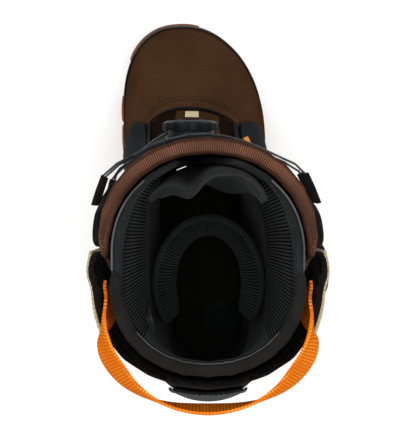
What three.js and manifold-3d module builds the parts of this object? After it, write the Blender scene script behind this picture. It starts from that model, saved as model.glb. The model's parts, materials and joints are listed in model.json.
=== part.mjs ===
// A right-foot snowboard boot with two lace dials, in millimetres.
// +Z is up, +Y points to the toe and +X to the outer (lateral) side of the foot.
// The origin is on the ground, on the flat tread face under the middle of the foot.
//
// Every soft layer follows one surface, the outside of the liner. A place on it is (u, level):
// u goes once round the boot (0 front, 0.25 outer side, 0.5 back, 0.75 inner side), and level
// climbs from 0 at the sole to TOP, at the rim. Layers lie on it at named distances.
import * as THREE from "three";
import { mergeVertices } from "three/addons/utils/BufferGeometryUtils.js";
import Module from "manifold-3d";

const wasm = await Module();
wasm.setup();
const { sin, cos, PI, abs, min, max, pow, sign, sqrt } = Math;

// ---- driving dimensions ----
const SHAPE_LENGTH = 1; // stretches the boot along Y
const SHAPE_WIDTH = 1; // stretches the boot along X
const SHAPE_HEIGHT = 1; // stretches the shaft along Z

const GAP = 0.35; // running gap between touching pieces
const LAYER_GAP = 0.7; // between curved layers
const TREAD_T = 6; // outsole rubber, with its lugs
const LUG_DEPTH = 3.2;
const MIDSOLE_T = 18; // foam under the lasting board
const MIDSOLE_LIP = 8.2; // how far the midsole stands out from the liner's edge
const TREAD_INSET = 1.2;
const WRAP_T = 2.6; // rubber that wraps up over the midsole
const BOARD_T = 2.4;
const SHANK_T = 1.2;
const UPPER_T = 3; // vamp and quarter
const OVERLAY_T = 2.2; // rand, instep wings and heel counter
const BINDING_T = 1.7;
const CUFF_T_LOW = 4.5; // cuff wall at its lower edge
const CUFF_T_TOP = 10.5; // padded top of the cuff at the sides
const CUFF_T_BACK = 7; // and behind the calf
const PANEL_T = 1.8; // woven side panels of the cuff
const FRONT_TONGUE_T = 8.5; // padded tongue at the shin
const SIDE_TONGUE_T = 3.4; // padded tongue at its side edges
const LOWER_TONGUE_IN = 1.6; // its distance from the liner
const LOWER_TONGUE_T = 2.6;
const LOWER_TONGUE_OUT = LOWER_TONGUE_IN + LOWER_TONGUE_T;
const LINER_T = 7.5;
const LINER_FRONT_T = 4;
const LINER_SOLE_T = 5;
const LINER_TONGUE_T = 6;
const FOOTBED_T = 4;
const HEEL_PAD_T = 1.2;
const PAD_SEAT_W = 40.8; // half the room between the liner's outer faces, where the ankle pad sits
const PAD_SEAT_L = 49.3;
const LACE_D = 1.5;
const LACE_HOLE_R = 1.15;
const GUIDE_T = 4.6;
const WEB_W = 25; // pull loop webbing
const WEB_T = 1.8;
const PIPING_D = 2.2;
const LABEL_T = 0.8;
const KNOB_R = 18.8; // dial
const DIAL_SINK = 4.5; // how deep a dial's base sits below the surface round it

// ---- the liner's outside: stations from the sole to the top ----
// yf, yr: front and back ends; yb, yh: ball and heel lines, where the ends begin to round off
// wb, wh: half widths there; xt, xb: how far toe and ball lie towards the inner side
// zf, zr: heights of the front and back ends; n: squareness
const STATION_KEYS = ["yf", "yb", "yh", "yr", "wb", "wh", "xt", "xb", "zf", "zr", "n"];
const STATIONS = [
  [157, 66, -86, -124, 51.5, 35, -23, -11, 24.5, 24.5, 2.35],
  [159, 66, -87, -127, 54.5, 37.5, -23, -11, 44, 46, 2.35],
  [151, 64, -88, -128.5, 53, 39, -21, -10.5, 59, 68, 2.3],
  [135, 58, -88, -128.5, 47, 39, -19.5, -10, 70.5, 88, 2.2],
  [111, 44, -87, -127.5, 41, 38.5, -17, -9, 78.5, 105, 2.1],
  [85, 27, -84, -125, 38, 38, -16, -7, 89, 120, 2.1],
  [63, 9, -76, -121, 38, 38, -15.5, -5, 112, 137, 2.1],
  [49, -3, -68, -116.5, 41, 40, -14.5, -3.5, 140, 155, 2.1],
  [41.5, -11, -60, -110, 45.5, 44.5, -12, -2, 175, 180, 2.1],
  [39.5, -16, -52, -102, 50, 50, -5, -0.5, 219, 215, 2.1],
  [38, -19, -44, -95, 53.5, 53.5, 0, 0, 262, 250, 2.1],
  [34, -20, -38, -88.5, 55, 55, 0, 0, 300, 285, 2.1],
];
const TOP = STATIONS.length - 1;
const SOLE_Z = STATIONS[0][STATION_KEYS.indexOf("zf")];
const CAP_FRONT_U = 0.15; // share of the way round taken by half the front end
const CAP_BACK_U = 0.36;

const lerp = (a, b, t) => a + (b - a) * t;
const clamp01 = (t) => min(1, max(0, t));
const smooth = (t) => clamp01(t) ** 2 * (3 - 2 * clamp01(t));
const between = (a, b, x) => smooth((x - a) / (b - a));
const wrapU = (u) => u - Math.floor(u);
// a height above the sole, and a place, at the boot's overall size
const rise = (z) => SOLE_Z + (z - SOLE_Z) * SHAPE_HEIGHT;
const placed = (x, y, z) => new THREE.Vector3(x * SHAPE_WIDTH, y * SHAPE_LENGTH, rise(z));
const sideU = (u) => 0.5 - abs(wrapU(u) - 0.5); // 0 front, 0.5 back, the same for both sides

function stationAt(level) {
  const i = min(TOP - 1, max(0, Math.floor(level)));
  const t = level - i;
  const row = (k) => STATIONS[min(TOP, max(0, k))];
  const found = {};
  STATION_KEYS.forEach((key, c) => {
    const p0 = i > 0 ? row(i - 1)[c] : 2 * row(0)[c] - row(1)[c];
    const p3 = i + 2 <= TOP ? row(i + 2)[c] : 2 * row(TOP)[c] - row(TOP - 1)[c];
    const [p1, p2] = [row(i)[c], row(i + 1)[c]];
    const square = (2 * p0 - 5 * p1 + 4 * p2 - p3) * t * t;
    const bend = square + (3 * p1 - p0 - 3 * p2 + p3) * t ** 3;
    found[key] = 0.5 * (2 * p1 + (p2 - p0) * t + bend);
  });
  return found;
}

function bootPoint(u, level) {
  const s = stationAt(level);
  const a = sideU(u);
  const side = wrapU(u) <= 0.5 ? 1 : -1;
  const round = (t) => pow(abs(t), 2 / s.n);
  let y, half, centre;
  if (a < CAP_FRONT_U) {
    const angle = ((a / CAP_FRONT_U) * PI) / 2;
    y = s.yb + (s.yf - s.yb) * round(cos(angle));
    half = s.wb * round(sin(angle));
    centre = lerp(s.xb, s.xt, pow(clamp01((y - s.yb) / (s.yf - s.yb)), 1.5));
  } else if (a < CAP_BACK_U) {
    const t = (a - CAP_FRONT_U) / (CAP_BACK_U - CAP_FRONT_U);
    y = lerp(s.yb, s.yh, t);
    half = lerp(s.wb, s.wh, smooth(t));
    centre = lerp(s.xb, 0, smooth(t));
  } else {
    const angle = (((a - CAP_BACK_U) / (0.5 - CAP_BACK_U)) * PI) / 2;
    y = s.yh - (s.yh - s.yr) * round(sin(angle));
    half = s.wh * round(cos(angle));
    centre = 0;
  }
  const z = lerp(s.zf, s.zr, (s.yf - y) / (s.yf - s.yr));
  return placed(centre + side * half, y, z);
}

function bootNormal(u, level) {
  const du = 0.004;
  const dl = 0.06;
  const across = bootPoint(u + du, level).sub(bootPoint(u - du, level));
  const up = bootPoint(u, min(TOP, level + dl)).sub(bootPoint(u, max(0, level - dl)));
  return up.cross(across).normalize();
}

// A point at a distance outside the liner's surface, or inside it where off is negative.
function layer(u, level, off) {
  return bootPoint(u, level).addScaledVector(bootNormal(u, level), off);
}

// ---- closed meshes ----
function closedMesh(points, faces) {
  const g = new THREE.BufferGeometry();
  const places = points.flatMap((p) => p.toArray());
  g.setAttribute("position", new THREE.Float32BufferAttribute(places, 3));
  g.setIndex(faces);
  const solid = toSolid(g);
  return solid.volume() < 0 ? flipped(g) : g;
}

function flipped(g) {
  const index = [...g.index.array];
  for (let i = 0; i < index.length; i += 3) {
    [index[i], index[i + 1]] = [index[i + 1], index[i]];
  }
  g.setIndex(index);
  return g;
}

// Closed loops joined one after the next; the ends are capped, or joined to each other.
function loft(loops, ringed = false) {
  const n = loops[0].length;
  const points = loops.flat();
  const faces = [];
  const last = ringed ? loops.length : loops.length - 1;
  for (let r = 0; r < last; r++) {
    const next = (r + 1) % loops.length;
    for (let i = 0; i < n; i++) {
      const j = (i + 1) % n;
      const [a, b, c, d] = [r * n + i, r * n + j, next * n + j, next * n + i];
      faces.push(a, b, c, a, c, d);
    }
  }
  if (!ringed) {
    for (const [r, turn] of [[0, true], [loops.length - 1, false]]) {
      const middle = new THREE.Vector3();
      loops[r].forEach((p) => middle.addScaledVector(p, 1 / n));
      points.push(middle);
      for (let i = 0; i < n; i++) {
        const edge = [r * n + i, r * n + ((i + 1) % n)];
        faces.push(points.length - 1, ...(turn ? edge.reverse() : edge));
      }
    }
  }
  return closedMesh(points, faces);
}

// A piece of one layer. where(s, t) gives [u, level] for s, t from 0 to 1; inner and outer are
// distances from the liner's surface, as numbers or functions of (u, level, s, t).
function panel(where, inner, outer, across, up) {
  const value = (f, ...a) => (typeof f === "function" ? f(...a) : f);
  const points = [];
  for (const off of [inner, outer]) {
    for (let j = 0; j <= up; j++) {
      for (let i = 0; i <= across; i++) {
        const [u, level] = where(i / across, j / up);
        points.push(layer(u, level, value(off, u, level, i / across, j / up)));
      }
    }
  }
  const row = across + 1;
  const sheet = row * (up + 1);
  const faces = [];
  const quad = (a, b, c, d) => faces.push(a, b, c, a, c, d);
  for (let j = 0; j < up; j++) {
    for (let i = 0; i < across; i++) {
      const a = j * row + i;
      quad(a, a + row, a + row + 1, a + 1);
      quad(sheet + a, sheet + a + 1, sheet + a + row + 1, sheet + a + row);
    }
  }
  const rim = [];
  for (let i = 0; i < across; i++) rim.push(i);
  for (let j = 0; j < up; j++) rim.push(j * row + across);
  for (let i = across; i > 0; i--) rim.push(up * row + i);
  for (let j = up; j > 0; j--) rim.push(j * row);
  rim.forEach((a, k) => {
    const b = rim[(k + 1) % rim.length];
    quad(a, b, sheet + b, sheet + a);
  });
  return closedMesh(points, faces);
}

// A loop of n points round the boot at one level.
function ringAt(level, off, n, height = null) {
  return Array.from({ length: n }, (_, i) => {
    const p = layer(i / n, level, typeof off === "function" ? off(i / n, level) : off);
    if (height !== null) p.z = height;
    return p;
  });
}

// A round tube along a smooth curve through points.
function tube(points, radius, steps, sides = 8, closed = false) {
  const path = new THREE.CatmullRomCurve3(points, closed, "centripetal");
  const round = new THREE.Shape();
  for (let i = 0; i < sides; i++) {
    const a = (i / sides) * 2 * PI;
    round[i ? "lineTo" : "moveTo"](radius * cos(a), radius * sin(a));
  }
  round.closePath();
  return new THREE.ExtrudeGeometry(round, { steps, extrudePath: path, bevelEnabled: false });
}

// A flat strap: its middle line, the direction across its width at each point, and its size.
function strap(line, widthways, width, thick) {
  const loops = line.map((p, i) => {
    const along = line[min(line.length - 1, i + 1)].clone().sub(line[max(0, i - 1)]).normalize();
    const w = widthways[i].clone().addScaledVector(along, -widthways[i].dot(along)).normalize();
    const t = along.clone().cross(w).normalize();
    return [[-1, -1], [1, -1], [1, 1], [-1, 1]].map(([a, b]) =>
      p.clone().addScaledVector(w, (a * width) / 2).addScaledVector(t, (b * thick) / 2),
    );
  });
  return loft(loops);
}

// ---- joining and cutting ----
function mergedPlaces(g) {
  const bare = new THREE.BufferGeometry().setAttribute("position", g.getAttribute("position"));
  if (g.index) bare.setIndex(g.index);
  return mergeVertices(bare, 1e-4);
}

function toSolid(geometry) {
  const g = geometry.index ? geometry.toNonIndexed() : geometry.clone();
  const bare = new THREE.BufferGeometry().setAttribute("position", g.getAttribute("position"));
  const merged = mergeVertices(bare, 1e-4);
  return new wasm.Manifold(
    new wasm.Mesh({
      numProp: 3,
      vertProperties: merged.attributes.position.array,
      triVerts: new Uint32Array(merged.index.array),
    }),
  );
}

function toGeometry(solid) {
  const m = solid.getMesh();
  const g = new THREE.BufferGeometry();
  const places = new Float32Array(m.numVert * 3);
  for (let i = 0; i < m.numVert; i++) {
    places.set(m.vertProperties.subarray(i * m.numProp, i * m.numProp + 3), i * 3);
  }
  g.setAttribute("position", new THREE.BufferAttribute(places, 3));
  g.setIndex(new THREE.BufferAttribute(new Uint32Array(m.triVerts), 1));
  return g;
}

const cut = (g, ...tools) => toGeometry(tools.reduce((s, t) => s.subtract(toSolid(t)), toSolid(g)));
const keep = (g, tool) => toGeometry(toSolid(g).intersect(toSolid(tool)));

// ---- materials ----
const finish = (color, roughness, metalness = 0) =>
  new THREE.MeshStandardMaterial({ color, roughness, metalness });
const brownCanvas = finish(0x4a3524, 0.85);
const blackFabric = finish(0x1a1918, 0.9);
const blackSynthetic = finish(0x17181a, 0.6);
const blackRubber = finish(0x2b2a29, 0.7);
const rustRubber = finish(0x7a3a22, 0.65);
const whiteFoam = finish(0xdad7d2, 0.7);
const creamWeave = finish(0xc9bb9c, 0.8);
const rustGrosgrain = finish(0x6b4331, 0.85);
const orangeWebbing = finish(0xe8791c, 0.7);
const linerKnit = finish(0x15171a, 0.9);
const linerSmooth = finish(0x222120, 0.65);
const greyPiping = finish(0x6c6c6c, 0.45);
const dialBlack = finish(0x191b1d, 0.4);
const dialMetal = finish(0x8a8c8e, 0.35, 0.9);
const laceSteel = finish(0x3a3b3d, 0.4, 0.8);
const fibreBoard = finish(0x6f6250, 0.9);
const redLabel = finish(0x7a2a30, 0.7);
const whiteLabel = finish(0xd4d3cf, 0.6);

const boot = new THREE.Group();
function add(name, geometry, material) {
  const mesh = new THREE.Mesh(geometry, material);
  mesh.name = name;
  boot.add(mesh);
  return mesh;
}

// ---- where the layers lie, outwards from the liner ----
const UPPER_IN = 1.2;
const UPPER_OUT = UPPER_IN + UPPER_T;
const OVERLAY_IN = UPPER_OUT + LAYER_GAP;
const OVERLAY_OUT = OVERLAY_IN + OVERLAY_T;
const TONGUE_IN = 1.2;
const MIDSOLE_TOP = SOLE_Z - GAP;
const MIDSOLE_BOTTOM = MIDSOLE_TOP - MIDSOLE_T;

// The seam between vamp and quarter: how far round it is at each level, up to the throat.
const THROAT_LEVEL = 5; // front of the throat
const THROAT_CORNER_LEVEL = 4.4; // its corners, lower down both sides
const THROAT_TOP_LEVEL = 6.7; // where the binding stops
const THROAT_U = 0.1;
const SEAM_FOOT_U = 0.135;
const seamU = (level) => THROAT_U + SEAM_FOOT_U * clamp01(1 - level / THROAT_CORNER_LEVEL) ** 1.2;
const throatLevel = (side) => lerp(THROAT_LEVEL, THROAT_CORNER_LEVEL, side * side);
const COLLAR_BACK_LEVEL = 5.2; // top of the quarter at the heel
const COLLAR_FRONT_LEVEL = 7;
const collarLevel = (s) => lerp(COLLAR_BACK_LEVEL, COLLAR_FRONT_LEVEL, pow(abs(2 * s - 1), 1.6));

// ---- sole ----
const SOLE_N = 44;
const ACROSS = 400; // longer than the boot, for blocks that cut right through it
const GROOVE_W = 6;
const soleRing = (off, z) => ringAt(0, off, SOLE_N, z);
function buildSole() {
  const lip = MIDSOLE_LIP;
  const [low, high] = [MIDSOLE_BOTTOM, MIDSOLE_TOP];
  // how far in from the lip the side wall lies, at shares of its height: it is waisted in the middle
  const wall = [[2.2, 0], [0.6, 0.14], [1.4, 0.5], [0, 0.82], [0.8, 1]];
  const footWall = wall[0][0];
  const midsole = loft(wall.map(([inset, h]) => soleRing(lip - inset, lerp(low, high, h))));
  add("midsole", midsole, whiteFoam);

  const treadTop = low - GAP;
  const tread = (a, b) => {
    const box = new THREE.BoxGeometry(ACROSS, b - a, ACROSS).translate(0, (a + b) / 2, 0);
    const slab = loft([
      soleRing(lip - footWall - TREAD_INSET, 0),
      soleRing(lip - TREAD_INSET, TREAD_T * 0.35),
      soleRing(lip - TREAD_INSET / 2, treadTop),
    ]);
    return keep(slab, box);
  };
  const groove = ([y, skew]) =>
    new THREE.BoxGeometry(ACROSS, GROOVE_W, LUG_DEPTH * 2).rotateZ(skew).translate(0, y * SHAPE_LENGTH, 0);
  const foreGrooves = [[128, 0.1], [108, 0.05], [88, 0], [50, -0.05]].map(groove);
  const heelGrooves = [[-66, 0.04], [-88, 0], [-110, -0.04]].map(groove);
  const [foreBack, heelFront] = [-16 * SHAPE_LENGTH, -42 * SHAPE_LENGTH]; // each side of the arch
  add("outsole_forefoot", cut(tread(foreBack, ACROSS), ...foreGrooves), rustRubber);
  add("outsole_heel", cut(tread(-ACROSS, heelFront), ...heelGrooves), rustRubber);

  // rubber wraps that stand on the midsole's side wall
  const wrap = (u0, u1, z0, z1, steps) => {
    const place = (u, h, off) => {
      const p = layer(u, 0, lip + off + GAP * 2);
      p.z = h;
      return p;
    };
    const loops = [];
    for (let i = 0; i <= steps; i++) {
      const u = lerp(u0, u1, i / steps);
      const out = WRAP_T - (i === 0 || i === steps ? 0.6 : 0);
      loops.push([place(u, z0, 0), place(u, z0 + 1, out), place(u, z1 - 2, out), place(u, z1, 0)]);
    }
    return loft(loops);
  };
  const foot = 2.5;
  add("toe_wrap", wrap(-0.075, 0.018, foot, MIDSOLE_TOP + 1.5, 14), rustRubber);
  add("ball_wrap_front", wrap(-0.134, -0.112, foot, MIDSOLE_TOP - 1, 4), rustRubber);
  add("ball_wrap_middle", wrap(-0.161, -0.137, foot, MIDSOLE_TOP - 2, 4), rustRubber);
  add("ball_wrap_back", wrap(-0.19, -0.164, foot, MIDSOLE_TOP - 3, 4), rustRubber);

  const boardZ = SOLE_Z + GAP;
  const boardTop = boardZ + BOARD_T;
  const board = loft([soleRing(-0.4, boardZ), soleRing(0, boardTop)]);
  const [shankW, shankL] = [22, 132 * SHAPE_LENGTH];
  const shankPlace = [-2 * SHAPE_WIDTH, -28 * SHAPE_LENGTH];
  const slotDepth = SHANK_T + GAP;
  const shankSlot = new THREE.BoxGeometry(shankW + 2 * GAP, shankL + 2 * GAP, slotDepth * 2);
  add("lasting_board", cut(board, shankSlot.translate(...shankPlace, boardTop)), fibreBoard);
  const shank = new THREE.BoxGeometry(shankW, shankL, SHANK_T);
  add("shank", shank.translate(...shankPlace, boardTop - SHANK_T / 2), dialMetal);
}

// ---- lower shell ----
const FOOT_LEVEL = 0.07; // where the upper stands on the midsole
const WING_LOW_LEVEL = 1.9;
const WING_TOP_LEVEL = 6.6;
const EDGE_U = 0.0012; // half a seam's gap, as a share of the way round
function buildLowerShell() {
  const vampWhere = (s, t) => {
    const side = 2 * s - 1;
    const level = lerp(FOOT_LEVEL, throatLevel(side), t);
    return [side * (seamU(level) - EDGE_U), level];
  };
  add("vamp", panel(vampWhere, UPPER_IN, UPPER_OUT, 24, 12), brownCanvas);

  const quarterWhere = (s, t) => {
    const level = lerp(FOOT_LEVEL, collarLevel(s), t);
    const edge = seamU(level) + EDGE_U;
    return [lerp(edge, 1 - edge, s), level];
  };
  add("quarter", panel(quarterWhere, UPPER_IN, UPPER_OUT, 28, 9), blackFabric);

  const randTop = (u) => lerp(1.62, 0.75, between(0.05, 0.2, abs(u)));
  const randWhere = (s, t) => {
    const u = lerp(-0.25, 0.19, s);
    return [u, lerp(FOOT_LEVEL, randTop(u), t)];
  };
  const randOut = (u, l, s, t) => lerp(OVERLAY_OUT, OVERLAY_IN + 1.2, t); // thins to its top edge
  add("toe_rand", panel(randWhere, OVERLAY_IN, randOut, 28, 5), blackRubber);

  const counterTop = (u) => lerp(3.4, 1.0, pow(abs(u - 0.5) / 0.155, 2));
  const counterWhere = (s, t) => {
    const u = lerp(0.345, 0.655, s);
    return [u, lerp(FOOT_LEVEL, counterTop(u), t)];
  };
  add("heel_counter", panel(counterWhere, OVERLAY_IN, OVERLAY_OUT + 0.4, 12, 4), blackSynthetic);

  // instep wings: overlays along the throat that carry the lower lace guides
  const wingWhere = (side) => (s, t) => {
    const level = lerp(WING_LOW_LEVEL, WING_TOP_LEVEL, t);
    const wide = lerp(0.035, 0.062, t);
    return [side * lerp(seamU(level) - 0.002, seamU(level) + wide, s), level];
  };
  add("instep_wing_outer", panel(wingWhere(1), OVERLAY_IN, OVERLAY_OUT, 4, 10), blackSynthetic);
  add("instep_wing_inner", panel(wingWhere(-1), OVERLAY_IN, OVERLAY_OUT, 4, 10), blackSynthetic);

  // the binding that edges the throat, from one collar corner round the front to the other
  const bindingWhere = (s, t) => {
    const side = 2 * s - 1;
    const bend = 0.5; // share of each half that runs up the side of the throat
    const k = abs(side);
    const up = clamp01((k - bend) / (1 - bend));
    const round = clamp01(k / bend);
    const reach = sin((round * PI) / 2);
    const level = lerp(throatLevel(reach) - 0.22, throatLevel(reach) + 0.08, t);
    const u = sign(side) * reach * THROAT_U;
    if (round < 1) return [u * (1 - 0.1 * t), level];
    const beside = sign(side) * (THROAT_U - lerp(0.008, 0.0185, t));
    return [beside, lerp(THROAT_CORNER_LEVEL + 0.1, THROAT_TOP_LEVEL, up)];
  };
  add("throat_binding", panel(bindingWhere, OVERLAY_IN, OVERLAY_IN + BINDING_T, 24, 1), blackSynthetic);

  const lowerTongueWhere = (s, t) => {
    const side = 2 * s - 1;
    const level = lerp(throatLevel(side) + 0.07, 7.45, t);
    return [side * (THROAT_U - 0.004), level];
  };
  const lowerTongue = panel(lowerTongueWhere, LOWER_TONGUE_IN, LOWER_TONGUE_OUT, 10, 6);
  add("lower_tongue", lowerTongue, brownCanvas);
}

// ---- upper tongue ----
const TONGUE_LOW_LEVEL = 7.15;
const TONGUE_TOP_LEVEL = 10.72;
const TONGUE_LOW_U = 0.06;
const TONGUE_TOP_U = 0.25;
const TONGUE_FLARE = 8.5; // the lower end stands off, so that it can slide over the instep
const TONGUE_LOW_T = 4.2;
const tongueHalfU = (level) => lerp(TONGUE_LOW_U, TONGUE_TOP_U, between(6.9, 10.4, level));
const tongueThick = (u) => lerp(FRONT_TONGUE_T, SIDE_TONGUE_T, between(0.06, 0.2, sideU(u)));
const lowShare = (level) => between(8.6, 6.9, level);
function tongueIn(u, level) {
  return TONGUE_IN + TONGUE_FLARE * lowShare(level) * between(0.115, 0.06, sideU(u));
}
function tongueOut(u, level) {
  return tongueIn(u, level) + lerp(TONGUE_LOW_T, tongueThick(u), between(7, 8.2, level));
}
// the upper edge drops towards the tongue's ends
const tongueTop = (u) => TONGUE_TOP_LEVEL - 0.75 * between(0.12, 0.25, sideU(u));

const PLATE_T = 1.6;
const PLATE_LOW_LEVEL = 7.22;
const PLATE_TOP_LEVEL = 9.6;
const PLATE_U = 0.058; // half its width, beside the dial
const plateIn = (u, level) => tongueOut(u, level) + LAYER_GAP;
const plateOut = (u, level) => plateIn(u, level) + PLATE_T;

function buildTongue() {
  const tongueWhere = (s, t) => {
    const side = 2 * s - 1;
    const level = lerp(TONGUE_LOW_LEVEL, tongueTop(side * 0.25), t);
    return [side * tongueHalfU(level), level];
  };
  const pad = panel(tongueWhere, tongueIn, tongueOut, 18, 9);
  add("tongue", cut(pad, dialPocket(tongueDial.place)), blackFabric);

  const rim = 0.6;
  const bindWhere = (s, t) => {
    const side = 2 * s - 1;
    const foot = tongueTop(side * 0.25) + 0.012;
    const level = lerp(foot, foot + 0.25, t);
    return [side * tongueHalfU(foot), level];
  };
  const bulge = (t) => rim - 1.7 * t * t;
  const bindIn = (u, l, s, t) => tongueIn(u, l) - bulge(t);
  const bindOut = (u, l, s, t) => tongueOut(u, l) + bulge(t);
  add("tongue_binding", panel(bindWhere, bindIn, bindOut, 22, 2), rustGrosgrain);

  const plateWhere = (s, t) => {
    const side = 2 * s - 1;
    const level = lerp(PLATE_LOW_LEVEL, PLATE_TOP_LEVEL, t);
    return [side * lerp(PLATE_U, 0.036, between(0.3, 0.75, t)) * (1 - 0.2 * (1 - t) ** 6), level];
  };
  const plate = panel(plateWhere, plateIn, plateOut, 8, 8);
  add("tongue_plate", cut(plate, dialPocket(tongueDial.place, KNOB_R + LAYER_GAP)), blackSynthetic);
}

// ---- cuff ----
const CUFF_SEAM_U = 0.155; // where a front flap is stitched to the cuff
const CUFF_SPREAD = 3.6; // the cuff stands off the liner at both sides
const cuffSide = (a) => between(0.1, 0.22, a) * between(0.49, 0.37, a);
function cuffIn(u, level) {
  const a = sideU(u);
  const overTongue = lerp(tongueOut(u, max(8.3, level)) + 1.3, 1.6, between(0.25, 0.36, a));
  const overLower = lerp(OVERLAY_OUT + 3.2, UPPER_OUT + 2.4, between(0.15, 0.4, a));
  const spread = CUFF_SPREAD * cuffSide(a) * between(8.2, 9.8, level);
  return lerp(overLower, overTongue, between(6.4, 8.6, level)) + spread;
}
function cuffThick(u, level) {
  const top = lerp(CUFF_T_TOP, CUFF_T_BACK, between(0.36, 0.47, sideU(u)));
  return lerp(CUFF_T_LOW, top, between(5.5, 9.8, level));
}
const cuffOut = (u, level) => cuffIn(u, level) + cuffThick(u, level);
const cuffBottom = (a) => lerp(3.9, 7.15, pow(min(1, (0.5 - a) / 0.37), 2.2));
const cuffTop = (a) => lerp(10.3, 9.85, pow(min(1, (0.5 - a) / 0.37), 2));
// a flap's front edge: bottom, middle and top
const flapEdgeU = (t) => lerp(lerp(0.122, 0.088, smooth(t / 0.35)), 0.118, between(0.55, 1, t));
const softRim = (t, s) => 1.6 * pow(t, 6) + 1.2 * pow(s, 12);
const PANEL_LOW_LEVEL = [6.5, 5.0]; // at the flap's seam and at the back
const PANEL_BACK_U = 0.4;

function buildCuff() {
  const seam = CUFF_SEAM_U + EDGE_U * 2;
  const cuffWhere = (s, t) => {
    const u = lerp(seam, 1 - seam, s);
    return [u, lerp(cuffBottom(sideU(u)), cuffTop(sideU(u)), t)];
  };
  const inner = (u, l, s, t) => cuffIn(u, l) + softRim(t, abs(2 * s - 1));
  const outer = (u, l, s, t) => cuffOut(u, l) - softRim(t, abs(2 * s - 1));
  let cuff = panel(cuffWhere, inner, outer, 26, 7);

  const flap = (side) => {
    const where = (s, t) => {
      const a = lerp(flapEdgeU(t), CUFF_SEAM_U - EDGE_U, s);
      const foot = lerp(0.122, CUFF_SEAM_U, s);
      return [side * a, lerp(cuffBottom(foot), cuffTop(foot), t)];
    };
    const rim = (t, s) => softRim(t, max(1 - s, s));
    const flapIn = (u, l, s, t) => cuffIn(u, l) + rim(t, s);
    return panel(where, flapIn, (u, l, s, t) => cuffOut(u, l) - rim(t, s), 5, 8);
  };
  add("cuff_flap_outer", flap(1), blackFabric);
  add("cuff_flap_inner", flap(-1), blackFabric);

  const sidePanel = (side) => (s, t) => {
    const level = lerp(lerp(...PANEL_LOW_LEVEL, s), lerp(9.5, 9.85, s), t);
    return [side * lerp(CUFF_SEAM_U + 0.012, PANEL_BACK_U, s), level];
  };
  const onCuff = (thick) => [0, thick].map((t) => (u, l) => cuffOut(u, l) + LAYER_GAP + t);
  let outerPanel = panel(sidePanel(1), ...onCuff(PANEL_T), 10, 7);
  cuff = cut(cuff, dialPocket(sideDial.place), lowerLaceHole);
  outerPanel = cut(outerPanel, dialPocket(sideDial.place, KNOB_R + LAYER_GAP), lowerLaceHole);
  add("cuff", cuff, blackFabric);
  add("cuff_panel_outer", outerPanel, creamWeave);
  add("cuff_panel_inner", panel(sidePanel(-1), ...onCuff(PANEL_T), 10, 7), creamWeave);

  const spineWhere = (s, t) => {
    const level = lerp(4.1, 9.7, t);
    const half = lerp(0.055, 0.03, t);
    return [0.5 + (2 * s - 1) * half, level];
  };
  add("backstay", panel(spineWhere, ...onCuff(2), 4, 8), blackSynthetic);
}

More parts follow.
